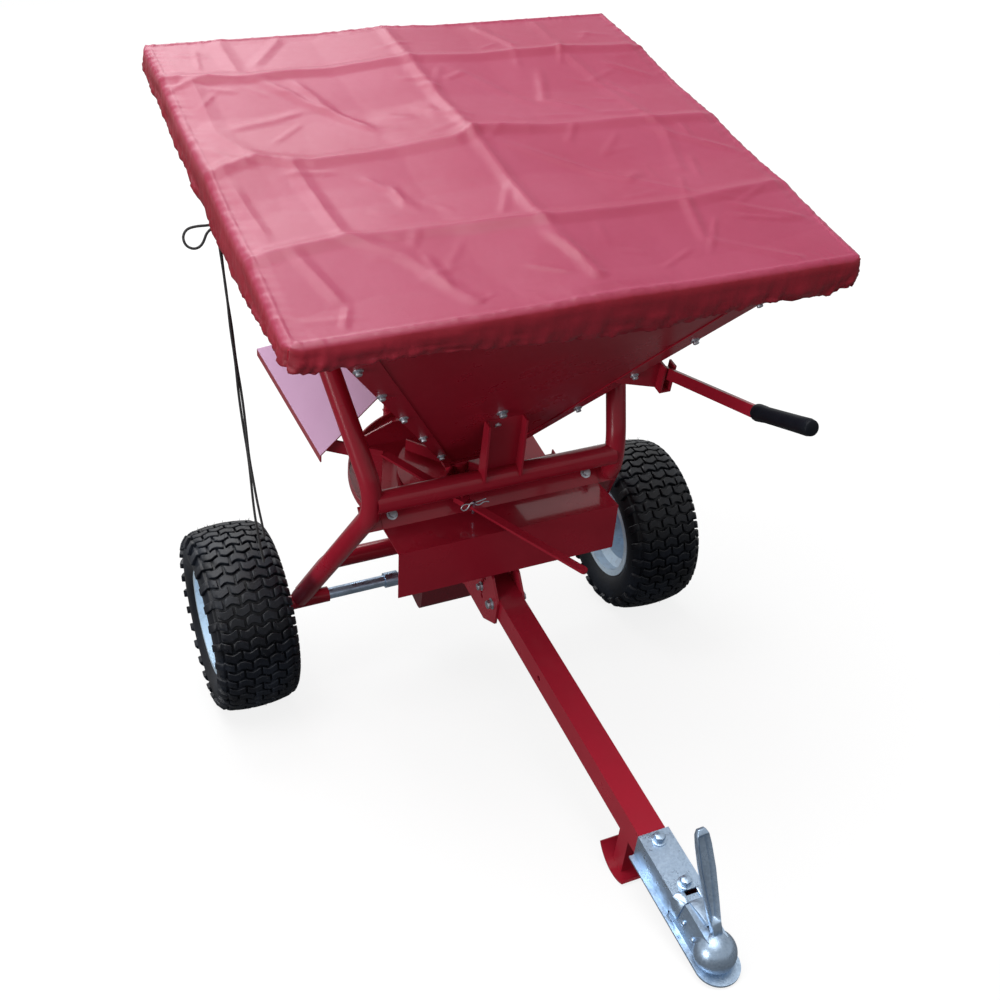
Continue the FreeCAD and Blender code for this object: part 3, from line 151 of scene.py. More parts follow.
def powder_coat(name, color, deep, dusty, gloss=0.27, sky=0.8):
    """Sprayed paint: a little uneven in colour, with an orange-peel skin; what faces up shines."""
    paint = Finish(name, color, gloss, Specular_IOR_Level=0.16, Coat_Roughness=0.09)
    clouds = paint.speckle(9, 5)
    dust = paint.ramp(paint.speckle(38, 6, 0.7) * paint.speckle(5, 3), 0.27, 0.42)
    tint = paint.blend(paint.ramp(clouds, 0.35, 0.65), color, deep)
    paint.set("Base Color", paint.blend(dust * 0.03, tint, dusty))
    paint.set("Roughness", gloss + 0.08 * paint.ramp(clouds, 0.4, 0.7) + 0.04 * dust)
    paint.set("Coat Weight", 0.03 + sky * paint.facing_up(0.1, 0.9))
    skin = paint.bump(paint.speckle(420, 2), 0.00012, 0.6)
    paint.set("Normal", paint.bump(paint.speckle(26, 3), 0.0006, 0.3, skin))
    return paint.material


def flap_paint():
    """The flap's paint: plain red on its edges, with a painted pale sky reflection in the colour of the faces that
    turn up.
    """
    paint = Finish("flap_paint", (0.5, 0.3, 0.43), 0.3, Specular_IOR_Level=0.3)
    clouds = paint.speckle(7, 5)
    # painted sky reflection: a pale lilac, a little uneven, that stands in for the sky mirrored in the red paint
    pale = paint.blend(clouds, (0.58, 0.33, 0.52), (0.66, 0.42, 0.61))
    # faces that turn up get the painted reflection colour; the others stay plain red
    paint.set("Base Color", paint.blend(paint.facing_up(0.1, 0.35), (0.33, 0.02, 0.035), pale))
    paint.set("Roughness", 0.27 + 0.1 * clouds)
    paint.set("Normal", paint.bump(paint.speckle(420, 2), 0.00012, 0.6))
    return paint.material


def bright_zinc(name, color, roughness):
    """Zinc plate: fine spangle, soft blue stains and a few dull spots."""
    zinc = Finish(name, color, roughness, Metallic=1.0)
    spangle = zinc.cells(260)
    stain = zinc.ramp(zinc.speckle(22, 5, 0.6), 0.42, 0.62)
    tint = zinc.blend(stain, color, tuple(0.62 * part for part in color))
    zinc.set("Base Color", zinc.blend(0.35 * spangle, tint, (0.6, 0.72, 0.86)))
    zinc.set("Roughness", roughness + 0.18 * stain + 0.1 * spangle)
    zinc.set("Normal", zinc.bump(zinc.speckle(120, 4), 0.0003, 0.5))
    return zinc.material


def wheel_paint():
    paint = Finish("wheel_paint", (0.42, 0.53, 0.68), 0.3, Metallic=0.0, Coat_Weight=0.3)
    clouds = paint.speckle(14, 5)
    grime = paint.ramp(paint.speckle(60, 6, 0.7), 0.5, 0.72)
    tint = paint.blend(clouds, (0.60, 0.80, 1.0), (0.72, 0.88, 1.0))
    paint.set("Base Color", paint.blend(0.35 * grime, tint, (0.18, 0.21, 0.26)))
    paint.set("Roughness", 0.28 + 0.25 * grime)
    paint.set("Normal", paint.bump(paint.speckle(300, 2), 0.0002, 0.5))
    return paint.material


def tyre_rubber():
    rubber = Finish("tyre_rubber", (0.008, 0.010, 0.013), 0.5, Specular_IOR_Level=0.1, Coat_Roughness=0.5)
    rubber.set("Coat Weight", 0.7 * rubber.facing_up(0.0, 0.8))
    bloom = rubber.ramp(rubber.speckle(11, 6, 0.65), 0.4, 0.7)
    scuff = rubber.ramp(rubber.speckle(170, 4, 0.7), 0.55, 0.75)
    tint = rubber.blend(bloom, (0.005, 0.006, 0.009), (0.014, 0.018, 0.027))
    rubber.set("Base Color", rubber.blend(0.4 * scuff, tint, (0.045, 0.05, 0.06)))
    rubber.set("Roughness", 0.42 + 0.2 * bloom + 0.1 * scuff)
    rubber.set("Normal", rubber.bump(rubber.speckle(240, 5), 0.0005, 0.6))
    return rubber.material


def grip_rubber():
    rubber = Finish("grip_rubber", (0.004, 0.005, 0.008), 0.34, Specular_IOR_Level=0.12)
    bloom = rubber.speckle(30, 5)
    rubber.set("Base Color", rubber.blend(bloom, (0.003, 0.004, 0.007), (0.008, 0.010, 0.014)))
    rubber.set("Roughness", 0.28 + 0.2 * bloom)
    rubber.set("Normal", rubber.bump(rubber.speckle(380, 3), 0.0003, 0.5))
    return rubber.material


def cast_iron():
    iron = Finish("painted_casting", (0.16, 0.012, 0.02), 0.42, Specular_IOR_Level=0.35)
    grain = iron.speckle(150, 6, 0.7)
    iron.set("Base Color", iron.blend(grain, (0.10, 0.008, 0.014), (0.2, 0.016, 0.026)))
    iron.set("Roughness", 0.34 + 0.25 * grain)
    iron.set("Normal", iron.bump(grain, 0.0012, 0.8))
    return iron.material


def cover_cloth():
    """Coated nylon: a fine square weave, shallow creases and a pale shine where it lies open to the sky, there
    partly a coat layer and partly a painted sheen in the colour.
    """
    cloth = Finish("cover_cloth", (0.44, 0.045, 0.10), 0.42, Specular_IOR_Level=0.35,
                   Coat_Roughness=0.3)
    fade = cloth.ramp(cloth.speckle(4, 4), 0.35, 0.7)
    slub = cloth.speckle(60, 6, 0.7)
    # faces that turn up take a paler, pinker red, which is a painted sky sheen; the rest keep the deep red
    open_sky = cloth.facing_up(0.15, 0.9)
    tint = cloth.blend(fade, (0.26, 0.008, 0.020), (0.30, 0.012, 0.028))
    # painted sky sheen: up-facing faces blend from the deep red to a paler, pinker one
    red_with_painted_sheen = cloth.blend(open_sky, tint, cloth.blend(fade, (0.285, 0.018, 0.066), (0.315, 0.034, 0.090)))
    cloth.set("Base Color", cloth.blend(0.2 * slub, red_with_painted_sheen, (0.21, 0.014, 0.030)))
    cloth.set("Coat Weight", 0.3 * open_sky)
    cloth.set("Roughness", 0.38 + 0.16 * slub)
    uv = cloth.node("ShaderNodeTexCoord", out="UV")
    warp = cloth.node("ShaderNodeTexWave", {"bands_direction": "X"}, {"Vector": uv, "Scale": 420})
    weft = cloth.node("ShaderNodeTexWave", {"bands_direction": "Y"}, {"Vector": uv, "Scale": 420})
    weave = cloth.bump(warp * weft, 0.0002, 0.4)
    pucker = cloth.speckle(30, 5, 0.55)
    cloth.set("Normal", cloth.bump(pucker, 0.0016, 0.5, weave))
    return cloth.material


def cord_braid():
    braid = Finish("cord_braid", (0.008, 0.008, 0.009), 0.6, Sheen_Weight=0.2)
    uv = braid.node("ShaderNodeTexCoord", out="UV")
    strands = [braid.node("ShaderNodeTexWave", {"bands_direction": "DIAGONAL"}, {
        "Vector": braid.node("ShaderNodeMapping", None, {"Vector": uv, "Scale": (600, side * 9, 1)}),
        "Scale": 1.0}) for side in (1, -1)]
    plait = strands[0] * strands[1]
    braid.set("Base Color", braid.blend(plait, (0.004, 0.004, 0.005), (0.03, 0.03, 0.034)))
    braid.set("Normal", braid.bump(plait, 0.0004, 0.7))
    return braid.material


RED = powder_coat("red_powder_coat", (0.35, 0.013, 0.030), (0.315, 0.011, 0.026), (0.34, 0.08, 0.11))
# the flap's finish: red paint with a painted pale sky reflection where it faces up
FLAP_PAINTED_SHEEN = flap_paint()
ZINC = bright_zinc("bright_zinc", (0.42, 0.56, 0.74), 0.22)
DULL_ZINC = bright_zinc("dull_zinc", (0.5, 0.5, 0.53), 0.36)
WHEEL = wheel_paint()
TYRE = tyre_rubber()
GRIP = grip_rubber()
IRON = cast_iron()
CLOTH = cover_cloth()
BRAID = cord_braid()


# ---- making pieces -------------------------------------------------------------------------
def deselect():
    if bpy.context.object and bpy.context.object.mode != "OBJECT":
        bpy.ops.object.mode_set(mode="OBJECT")
    bpy.ops.object.select_all(action="DESELECT")


def take(piece):
    """Makes one piece the selected and active one."""
    deselect()
    piece.select_set(True)
    bpy.context.view_layer.objects.active = piece
    return piece


def open_up(piece):
    take(piece)
    bpy.ops.object.mode_set(mode="EDIT")


def pick(kind, test):
    """In edit mode, selects only the faces, edges or points whose middle passes the test."""
    bpy.ops.mesh.select_mode(type=kind)
    bpy.ops.mesh.select_all(action="DESELECT")
    form = bmesh.from_edit_mesh(bpy.context.object.data)
    items = {"FACE": form.faces, "EDGE": form.edges, "VERT": form.verts}[kind]
    for item in items:
        if kind == "VERT":
            middle, normal = item.co, item.normal
        elif kind == "EDGE":
            middle, normal = (item.verts[0].co + item.verts[1].co) / 2, (item.verts[1].co - item.verts[0].co)
        else:
            middle, normal = item.calc_center_median(), item.normal
        if test(middle, normal):
            item.select_set(True)
    form.select_flush_mode()
    bmesh.update_edit_mesh(bpy.context.object.data)


def close_up():
    bpy.ops.object.mode_set(mode="OBJECT")
    return bpy.context.object


def modify(piece, kind, **settings):
    """Adds a modifier, sets it and applies it."""
    take(piece)
    made = piece.modifiers.new(kind.title(), kind)
    for setting, value in settings.items():
        setattr(made, setting, value)
    bpy.ops.object.modifier_apply(modifier=made.name)
    return piece


def join(pieces):
    take(pieces[0])
    for piece in pieces[1:]:
        piece.select_set(True)
    bpy.ops.object.join()
    return bpy.context.object


def bake_place(piece, layout=Matrix.Identity(4)):
    """Moves the object's own place, and then a layout, into its mesh."""
    take(piece)
    bpy.ops.object.transform_apply(location=True, rotation=True, scale=True)
    piece.data.transform(layout)
    return piece


def dress(piece, name, body, material, layout=Matrix.Identity(4), angle=35):
    """Finishes one piece: its place, outward faces, shading, body, slot and material."""
    bake_place(piece, layout)
    open_up(piece)
    bpy.ops.mesh.select_all(action="SELECT")
    bpy.ops.mesh.normals_make_consistent(inside=False)
    close_up()
    bpy.ops.object.shade_smooth_by_angle(angle=math.radians(angle))
    piece.name = piece.data.name = name
    piece.data.materials.clear()
    piece.data.materials.append(material)
    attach(piece, body)
    return piece


# ---- carried-over pieces -------------------------------------------------------------------
def finish_frame():
    """Every solid that stays in view gets the finish of its slot."""
    finishes = {"red_paint": RED, "zinc": ZINC, "rim_steel": WHEEL, "tyre_rubber": TYRE,
                "cover_cloth": CLOTH, "cord": BRAID, "grip_rubber": GRIP, "gearbox_iron": IRON}
    special = {"deflector_flap": FLAP_PAINTED_SHEEN, "spindle": DULL_ZINC}
    for part in frame["record"]["subparts"]:
        node = frame["nodes"][part["node"]]
        material = special.get(part["node"], finishes[part["material_slot"]])
        node.data.materials.clear()
        node.data.materials.append(material)


finish_frame()


# ---- tyres ---------------------------------------------------------------------------------
TREAD_ROWS = 54
TREAD_BRICK = 0.033
TREAD_HALF = 0.0795
GROOVE_DEPTH = 0.0075


def tread_row(shift):
    """One flat row of wavy bricks with open joints between them."""
    cells = 8
    count = 5
    bpy.ops.mesh.primitive_grid_add(x_subdivisions=cells * count, y_subdivisions=2, size=1)
    row = bpy.context.object
    pitch = 2 * math.pi * 0.2 / TREAD_ROWS
    open_up(row)
    bpy.ops.mesh.select_all(action="SELECT")
    bpy.ops.transform.resize(value=(count * TREAD_BRICK, pitch * 0.7, 1))
    step = TREAD_BRICK / cells
    for column in range(cells * count + 1):
        across = (column - cells * count / 2) * step
        pick("VERT", lambda co, normal: abs(co.x - across) < step / 4)
        wave = 0.0032 * math.cos(2 * math.pi * (across / TREAD_BRICK + shift))
        bpy.ops.transform.translate(value=(0, wave, 0))
    pick("FACE", lambda co, normal: (co.x / TREAD_BRICK + count / 2) % 1 < 1 / cells)
    bpy.ops.mesh.delete(type="FACE")
    bpy.ops.mesh.select_all(action="SELECT")
    bpy.ops.transform.translate(value=((shift - 0.5 / cells) * TREAD_BRICK, 0, 0.3))
    pick("FACE", lambda co, normal: abs(co.x) > TREAD_HALF)
    bpy.ops.mesh.delete(type="FACE")
    return close_up()


def tyre(word, body, centre):
    """A carcass with a tread of staggered wavy bricks and the soft hairs of a new tyre."""
    node = frame["nodes"]["tyre_" + word]
    carcass = node.copy()
    carcass.data = node.data.copy()
    bpy.context.collection.objects.link(carcass)
    carcass.parent = None
    carcass.matrix_world = Matrix.Identity(4)
    carcass.data.transform(Matrix.Translation((-centre, -AXLE.y, -AXLE.z)))
    modify(carcass, "WELD", merge_threshold=1e-5)
    open_up(carcass)
    pick("VERT", lambda co, normal: co.yz.length > 0.184)
    sink = 1 - GROOVE_DEPTH / 0.2
    bpy.ops.transform.resize(value=(1, sink, sink), center_override=(0, 0, 0))
    close_up()
    rows = []
    for number in range(2):
        row = tread_row(0.5 * number)
        modify(row, "SHRINKWRAP", target=carcass, wrap_method="PROJECT", use_project_z=True,
               use_negative_direction=True, use_positive_direction=False)
        bake_place(row, Matrix.Rotation(2 * math.pi * number / TREAD_ROWS, 4, "X"))
        rows.append(row)
    tread = join(rows)
    pivot = bpy.data.objects.new("tread_turn", None)
    bpy.context.collection.objects.link(pivot)
    pivot.rotation_euler = (4 * math.pi / TREAD_ROWS, 0, 0)
    bpy.context.view_layer.update()
    modify(tread, "ARRAY", use_relative_offset=False, use_object_offset=True, offset_object=pivot,
           count=TREAD_ROWS // 2)
    bpy.data.objects.remove(pivot)
    modify(tread, "SOLIDIFY", thickness=GROOVE_DEPTH + 0.001, offset=0.9)
    modify(tread, "BEVEL", width=0.0011, segments=1, limit_method="ANGLE",
           angle_limit=math.radians(50))
    whole = join([carcass, tread, *tyre_hairs()])
    dress(whole, word + "_tyre", body, TYRE, Matrix.Translation((centre, AXLE.y, AXLE.z)), 32)
    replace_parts(whole, "tyre_" + word)


def tyre_hairs():
    """Moulding hairs: thin bent cones, all round but where the tyre stands."""
    bpy.ops.mesh.primitive_cone_add(vertices=5, radius1=0.0006, radius2=0.0002, depth=0.011)
    hair = bpy.context.object
    chance = random.Random(7)
    hairs = []
    for number in range(150):
        turn = math.radians(-140 + 280 * number / 149 + chance.uniform(-1, 1))
        copy = hair.copy()
        copy.data = hair.data.copy()
        bpy.context.collection.objects.link(copy)
        across = chance.choice((-0.062, -0.045, -0.028, -0.01, 0.008, 0.024, 0.043, 0.06))
        lean = Matrix.Rotation(chance.uniform(-0.7, 0.7), 4, "Y") @ Matrix.Rotation(
            chance.uniform(-0.9, 0.9), 4, "X")
        radius = 0.2 - 0.002 - 1.8 * across ** 2 + 0.0035
        copy.data.transform(Matrix.Rotation(turn, 4, "X") @ Matrix.Translation((across, 0, radius)) @ lean)
        hairs.append(copy)
    bpy.data.objects.remove(hair)
    return hairs


tyre("left", "drive_axle", -0.4765)
tyre("right", "free_wheel", 0.4765)


# ---- cover ---------------------------------------------------------------------------------
CLOTH_X, CLOTH_FRONT, CLOTH_BACK, CLOTH_TOP = 0.483, -0.437, 0.533, 1.0235
CLOTH_MIDDLE = (CLOTH_FRONT + CLOTH_BACK) / 2
CLOTH_Y = (CLOTH_BACK - CLOTH_FRONT) / 2
CORNER = 0.026
# Packing folds: height, half width, and the line that each runs along, in the level layout.
FOLDS = (
    (0.0050, 0.030, ((-0.49, 0.375), (-0.35, 0.347), (-0.27, 0.349), (-0.02, 0.356), (0.30, 0.361),
                     (0.49, 0.346))),
    (0.0056, 0.032, ((-0.49, 0.030), (-0.39, 0.068), (-0.30, 0.038), (-0.05, 0.047), (0.0, 0.072),
                     (0.49, 0.050))),
    (0.0052, 0.032, ((-0.48, -0.220), (-0.325, -0.199), (-0.17, -0.206), (-0.015, -0.225), (0.255, -0.217),
                     (0.48, -0.196))),
    (0.0042, 0.026, ((-0.017, 0.53), (-0.021, 0.356), (-0.008, 0.072), (-0.004, -0.225), (0.018, -0.378))),
    (0.0034, 0.034, ((-0.343, 0.53), (-0.346, 0.37), (-0.43, 0.346), (-0.431, 0.167), (-0.389, 0.069))),
    (0.0038, 0.028, ((-0.339, 0.032), (-0.323, -0.193), (-0.255, -0.255), (-0.189, -0.385))),
    (0.0024, 0.024, ((0.308, 0.50), (0.301, 0.361), (0.351, 0.017), (0.315, -0.108))),
    (0.0028, 0.020, ((0.263, -0.225), (0.239, -0.327), (0.372, -0.407))))
# Creases pulled between the folds, in the same form.
CREASES = (
    (0.0024, 0.018, ((-0.317, 0.341), (-0.165, 0.121))), (0.0020, 0.015, ((-0.256, 0.322), (-0.208, 0.189))),
    (0.0020, 0.016, ((-0.448, -0.009), (-0.436, -0.178))),
    (0.0022, 0.016, ((-0.243, -0.028), (-0.204, -0.075), (-0.187, -0.142))),
    (0.0022, 0.016, ((0.223, 0.286), (0.182, 0.176), (0.252, 0.115))),
    (0.0026, 0.017, ((0.013, 0.041), (0.160, -0.089), (0.203, -0.126), (0.237, -0.105))),
    (0.0018, 0.015, ((0.203, -0.126), (0.296, -0.200))), (0.0020, 0.018, ((0.166, 0.515), (0.220, 0.375))),
    (0.0022, 0.018, ((-0.222, 0.520), (-0.313, 0.381))), (0.0018, 0.018, ((0.045, 0.317), (0.160, 0.164))),
    (0.0016, 0.014, ((0.335, 0.231), (0.367, 0.158))), (0.0020, 0.016, ((0.306, 0.041), (0.463, -0.081))),
    (0.0020, 0.016, ((-0.020, -0.253), (0.020, -0.345))),
    (0.0018, 0.014, ((-0.219, -0.264), (-0.209, -0.354))),
    (0.0024, 0.018, ((-0.411, -0.217), (-0.374, -0.353))),
    (0.0020, 0.018, ((-0.416, 0.172), (-0.265, 0.215))),
    (0.0018, 0.016, ((-0.243, 0.241), (-0.165, 0.121))), (0.0018, 0.014, ((-0.48, 0.33), (-0.43, 0.346))),
    (0.0016, 0.013, ((0.36, 0.30), (0.44, 0.23))), (0.0020, 0.015, ((0.33, -0.24), (0.45, -0.31))))
# The skirt's depth below the top along two sides, as (place, depth) from one end to the other.
FRONT_SKIRT = ((-0.483, 0.040), (-0.40, 0.036), (-0.24, 0.038), (-0.16, 0.047), (0.0, 0.064), (0.11, 0.066),
               (0.28, 0.050), (0.42, 0.054), (0.483, 0.038))
LEFT_SKIRT = ((-0.437, 0.038), (-0.36, 0.042), (-0.19, 0.076), (0.0, 0.078), (0.18, 0.064), (0.37, 0.054),
              (0.533, 0.044))


# The cover's relief: how strongly the folds and creases stand up, and the panels' tilt beside the long folds.
FOLD_GAIN, FOLD_PINCH, FOLD_PEAK = 1.3, 0.8, 1.25
CREASE_GAIN, CREASE_PEAK = 1.5, 1.15
LONG_FOLDS, PANEL_LIFT, PANEL_REACH = 4, 0.0095, 0.15
SEAM_INSET, SEAM_HALF, SEAM_HEIGHT = 0.012, 0.0032, 0.0022
HEM_TUCK = 0.018
CLOTH_STEPS, SKIRT_ROWS, EDGE_CROWDING = 226, 14, 0.064


def reading(table, place):
    """The value at a place, on straight runs between the table's (place, value) pairs."""
    for (low, first), (high, second) in zip(table, table[1:]):
        if place <= high:
            return first + (second - first) * max(0, place - low) / (high - low)
    return table[-1][1]


def fold_reach(line, x, y):
    """Distance from a folded line, and how far along it the nearest point is, from 0 to 1."""
    best, along = 9.0, 0.0
    for number, ((x1, y1), (x2, y2)) in enumerate(zip(line, line[1:])):
        run_x, run_y = x2 - x1, y2 - y1
        part = ((x - x1) * run_x + (y - y1) * run_y) / (run_x ** 2 + run_y ** 2)
        part = min(1, max(0, part))
        distance = math.hypot(x - x1 - part * run_x, y - y1 - part * run_y)
        if distance < best:
            best, along = distance, (number + part) / (len(line) - 1)
    return best, along


def chance_creases():
    """Short pulled creases, mostly slanting one way, all over the top."""
    chance = random.Random(11)
    creases = []
    for number in range(70):
        x, y = chance.uniform(-0.44, 0.44), chance.uniform(-0.40, 0.49)
        turn = chance.choice((-0.7, -0.45, -0.2, 0.3, 0.9, 1.35)) + chance.uniform(-0.2, 0.2)
        half = chance.uniform(0.02, 0.055)
        step = Vector((math.cos(turn), math.sin(turn))) * half
        creases.append((chance.uniform(0.0005, 0.0013), chance.uniform(0.008, 0.013),
                        ((x - step.x, y - step.y), (x + step.x, y + step.y))))
    return creases


def top_relief(x, y, creases):
    """Height of the cloth above its flat top: dished panels, folds and creases."""
    relief = 0.0016 * noise.noise(Vector((3.5 * x, 3.5 * y, 1)))
    relief += 0.0007 * noise.noise(Vector((11 * x, 11 * y, 5)))
    for number, (height, half, line) in enumerate(FOLDS):
        wander = 0.004 * noise.noise(Vector((9 * x, 9 * y, number)))
        distance, along = fold_reach(line, x + wander, y + wander)
        uneven = 0.75 + 0.5 * noise.noise(Vector((6 * x, 6 * y, 3 * number)))
        relief += FOLD_GAIN * height * uneven * max(0, 1 - distance / (FOLD_PINCH * half)) ** FOLD_PEAK
        if number < LONG_FOLDS:
            relief += PANEL_LIFT * max(0, 1 - distance / PANEL_REACH)
    for height, half, line in creases:
        distance, along = fold_reach(line, x, y)
        if distance < half:
            fading = min(1, 4 * along + 0.25, 4.25 - 4 * along)
            relief += CREASE_GAIN * height * (1 - distance / half) ** CREASE_PEAK * fading
    return relief


def pleat(place, number):
    """Uneven gathers along a hem, from -1 to 1, sharper outside than in."""
    drift = 0.9 * noise.noise(Vector((13 * place, number, 0)))
    wide = math.sin(2 * math.pi * (place / 0.047 + drift))
    fine = 1 - 2 * abs(math.sin(math.pi * (place / 0.019 + 1.7 * drift)))
    share = 0.5 + 0.5 * noise.noise(Vector((7 * place, number, 4)))
    return share * wide + (1 - share) * fine


def edge_pucker(inward, place, number):
    """The gathers' short pull lines on the top, beside one edge."""
    if inward > 0.05:
        return 0
    return 0.0014 * pleat(place + 0.35 * inward, number) * (1 - inward / 0.05) ** 1.6


def rounded(x, y):
    """Draws a point of the square top in at its corners; returns it and the way out."""
    reach_x, reach_y = CLOTH_X - CORNER, CLOTH_Y - CORNER
    over_x, over_y = abs(x) - reach_x, abs(y) - reach_y
    if over_x > 0 and over_y > 0:
        scale = max(over_x, over_y) / math.hypot(over_x, over_y)
        over_x, over_y = over_x * scale, over_y * scale
        out = Vector((math.copysign(over_x, x), math.copysign(over_y, y))).normalized()
        return math.copysign(reach_x + over_x, x), math.copysign(reach_y + over_y, y), out
    if over_x > over_y:
        return x, y, Vector((math.copysign(1, x), 0))
    return x, y, Vector((0, math.copysign(1, y)))


def skirt_depth(side, x, y):
    ends = {"front": x, "back": -x, "left": y, "right": -y}[side]
    ripple = 0.004 * noise.noise(Vector((14 * ends, 3, 2)))
    if side == "front":
        return reading(FRONT_SKIRT, x) + ripple
    if side == "left":
        return reading(LEFT_SKIRT, y) + ripple
    corner = min(1, (CLOTH_X - abs(ends)) / 0.08) if side == "back" else 1
    return 0.042 + 0.016 * max(0, corner) + 1.5 * ripple


def skirt_point(start, out, side, part, place, number):
    """A point of the skirt: it bellies out, then the drawn cord tucks the hem under the rim."""
    depth = skirt_depth(side, start.x, start.y)
    belly = {"front": 0.007, "left": 0.003, "right": 0.005, "back": 0.005}[side]
    hem = 0.35 if side == "left" else 0.72
    ruffle = 0.0036 + 0.003 * max(0, 1 - (start - Vector((-CLOTH_X, CLOTH_FRONT, start.z))).length / 0.16)
    fall = min(1, part / 0.72)
    tuck = max(0, part - hem) / (1 - hem)
    heave = 0.006 * noise.noise(Vector((15 * place, 8 * fall, number))) * math.sin(math.pi * fall)
    crush = 0.0035 * (1 - abs(noise.noise(Vector((33 * place, 30 * depth * fall, number + 5)))) * 2) * fall
    away = belly * math.sin(math.pi * fall) ** 0.8 * (1 - tuck) + heave + crush * (1 - tuck) - HEM_TUCK * tuck
    away += ruffle * fall * pleat(place + 0.5 * depth * fall, number) * (1 - 0.4 * tuck)
    drop = depth * math.sin(math.pi / 2 * fall) ** 0.85 - 0.003 * tuck
    away = max(away, -0.002) if drop < 0.03 else away
    return Vector((start.x + out.x * away, start.y + out.y * away, start.z - drop))


def cover():
    """The cover as it lies: a flat top over the rim, a skirt, and a hem drawn in under it."""
    count, rows = CLOTH_STEPS, SKIRT_ROWS
    steps = [number / count - EDGE_CROWDING * math.sin(2 * math.pi * number / count) - 0.5
             for number in range(count + 1)]
    creases = list(CREASES) + chance_creases()
    form = bmesh.new()
    weave = form.loops.layers.uv.new("weave")
    flat = {}
    top = []
    for j in range(count + 1):
        line = []
        for i in range(count + 1):
            x, y, out = rounded(2 * CLOTH_X * steps[i], 2 * CLOTH_Y * steps[j])
            y += CLOTH_MIDDLE
            inward = min(CLOTH_X - abs(x), y - CLOTH_FRONT, CLOTH_BACK - y)
            relief = top_relief(x, y, creases) * min(1, 0.45 + inward / 0.06)
            relief += edge_pucker(CLOTH_X - abs(x), y, 1 + (x > 0)) + edge_pucker(y - CLOTH_FRONT, x, 3)
            relief += edge_pucker(CLOTH_BACK - y, x, 4)
            relief = max(relief, 0.0002) - 0.005 * max(0, 1 - inward / 0.009) ** 2
            seam = math.exp(-((inward - SEAM_INSET) / SEAM_HALF) ** 2)
            relief += SEAM_HEIGHT * seam * (0.7 + 0.6 * noise.noise(Vector((90 * x, 90 * y, 8))))
            vert = form.verts.new((x, y, CLOTH_TOP + relief))
            flat[vert] = Vector((x, y))
            line.append((vert, out))
        top.append(line)
    for j in range(count):
        for i in range(count):
            form.faces.new([top[b][a][0] for b, a in ((j, i), (j, i + 1), (j + 1, i + 1), (j + 1, i))])
    ring = [(*top[0][i], "front") for i in range(count)] + [(*top[j][count], "right") for j in range(count)]
    ring += [(*top[count][i], "back") for i in range(count, 0, -1)]
    ring += [(*top[j][0], "left") for j in range(count, 0, -1)]
    above = [vert for vert, out, side in ring]
    for row in range(1, rows + 1):
        below = []
        for start, out, side in ring:
            number = ("left", "right", "front", "back").index(side) + 1
            place = start.co.x if number > 2 else start.co.y
            vert = form.verts.new(skirt_point(start.co, out, side, row / rows, place, number))
            flat[vert] = flat[start] + out * (0.06 * row / rows)
            below.append(vert)
        for number in range(len(ring)):
            after = (number + 1) % len(ring)
            form.faces.new((above[number], below[number], below[after], above[after]))
        above = below
    for face in form.faces:
        face.smooth = True
        for loop in face.loops:
            loop[weave].uv = flat[loop.vert]
    mesh = bpy.data.meshes.new("nylon_cover")
    form.to_mesh(mesh)
    form.free()
    mesh.transform(LEVEL)
    mesh.materials.append(CLOTH)
    piece = bpy.data.objects.new("nylon_cover", mesh)
    bpy.context.collection.objects.link(piece)
    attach(piece, "frame")
    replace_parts(piece, "cover")


cover()


# ---- drawcord ------------------------------------------------------------------------------
# Each route is in upright millimetres from the middle of the knot.
LONG_TAIL = ((-2, -2, 0), (-1, -3, -56), (0, -3, -114), (-2, -2, -172), (-1, -3, -230), (-3, -1, -288),
             (-2, 2, -346), (0, 3, -404), (-1, 3, -452), (-3, 1, -500), (-3, -2, -546), (-1, -2, -590),
             (2, 0, -616))
SHORT_TAIL = ((2, 2, 0), (1, 3, -56), (0, 3, -114), (2, 2, -172), (1, 3, -230), (3, 1, -288),
              (2, -2, -346), (0, -3, -404), (2, -3, -452), (4, -2, -496), (7, -3, -536), (9, -2, -565))
LOOP = ((0, 2, 2), (-15, 3, 1), (-31, 4, 2), (-49, 4, 0), (-58, 2, -12), (-55, 0, -27), (-42, -2, -34),
        (-28, -3, -28), (-17, -3, -4), (0, -3, 0))
KNOT = ((0, 0, 6), (4, 2, 3), (2, 5, -2), (-4, 3, -4), (-5, -2, 0), (0, -5, 3), (5, -2, 0), (3, 3, -5),
        (-3, 1, -6), (-4, -3, -2), (1, -4, 4))


def cord_curve(name, route, thickness, cyclic=False):
    line = bpy.data.curves.new(name, "CURVE")
    line.dimensions = "3D"
    spline = line.splines.new("NURBS")
    spline.points.add(len(route) - 1)
    for point, place in zip(spline.points, route):
        point.co = (*(UPRIGHT @ (Vector(place) / 1000)), 1)
    spline.order_u = 3
    spline.use_endpoint_u = not cyclic
    spline.use_cyclic_u = cyclic
    spline.resolution_u = 8
    line.bevel_depth = thickness / 2
    line.bevel_resolution = 4
    line.use_fill_caps = True
    cord = bpy.data.objects.new(name, line)
    bpy.context.collection.objects.link(cord)
    line.materials.append(BRAID)
    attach(cord, "frame")
    return cord


def drawcord():
    knot = cord_curve("cord_knot", KNOT, 0.0045, cyclic=True)
    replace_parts(knot, "drawcord_knot")
    long_tail = cord_curve("cord_long_tail", LONG_TAIL, 0.0045)
    short_tail = cord_curve("cord_short_tail", SHORT_TAIL, 0.0045)
    loop = cord_curve("cord_loop", LOOP, 0.0045)
    for cord, route, node, length, end in (
            (long_tail, LONG_TAIL, "drawcord_tail_long", 0.617, "bare"),
            (short_tail, SHORT_TAIL, "drawcord_tail_short", 0.5655, "bare"),
            (loop, LOOP, "drawcord_loop", 0.149, "knot")):
        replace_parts(cord, node)


drawcord()


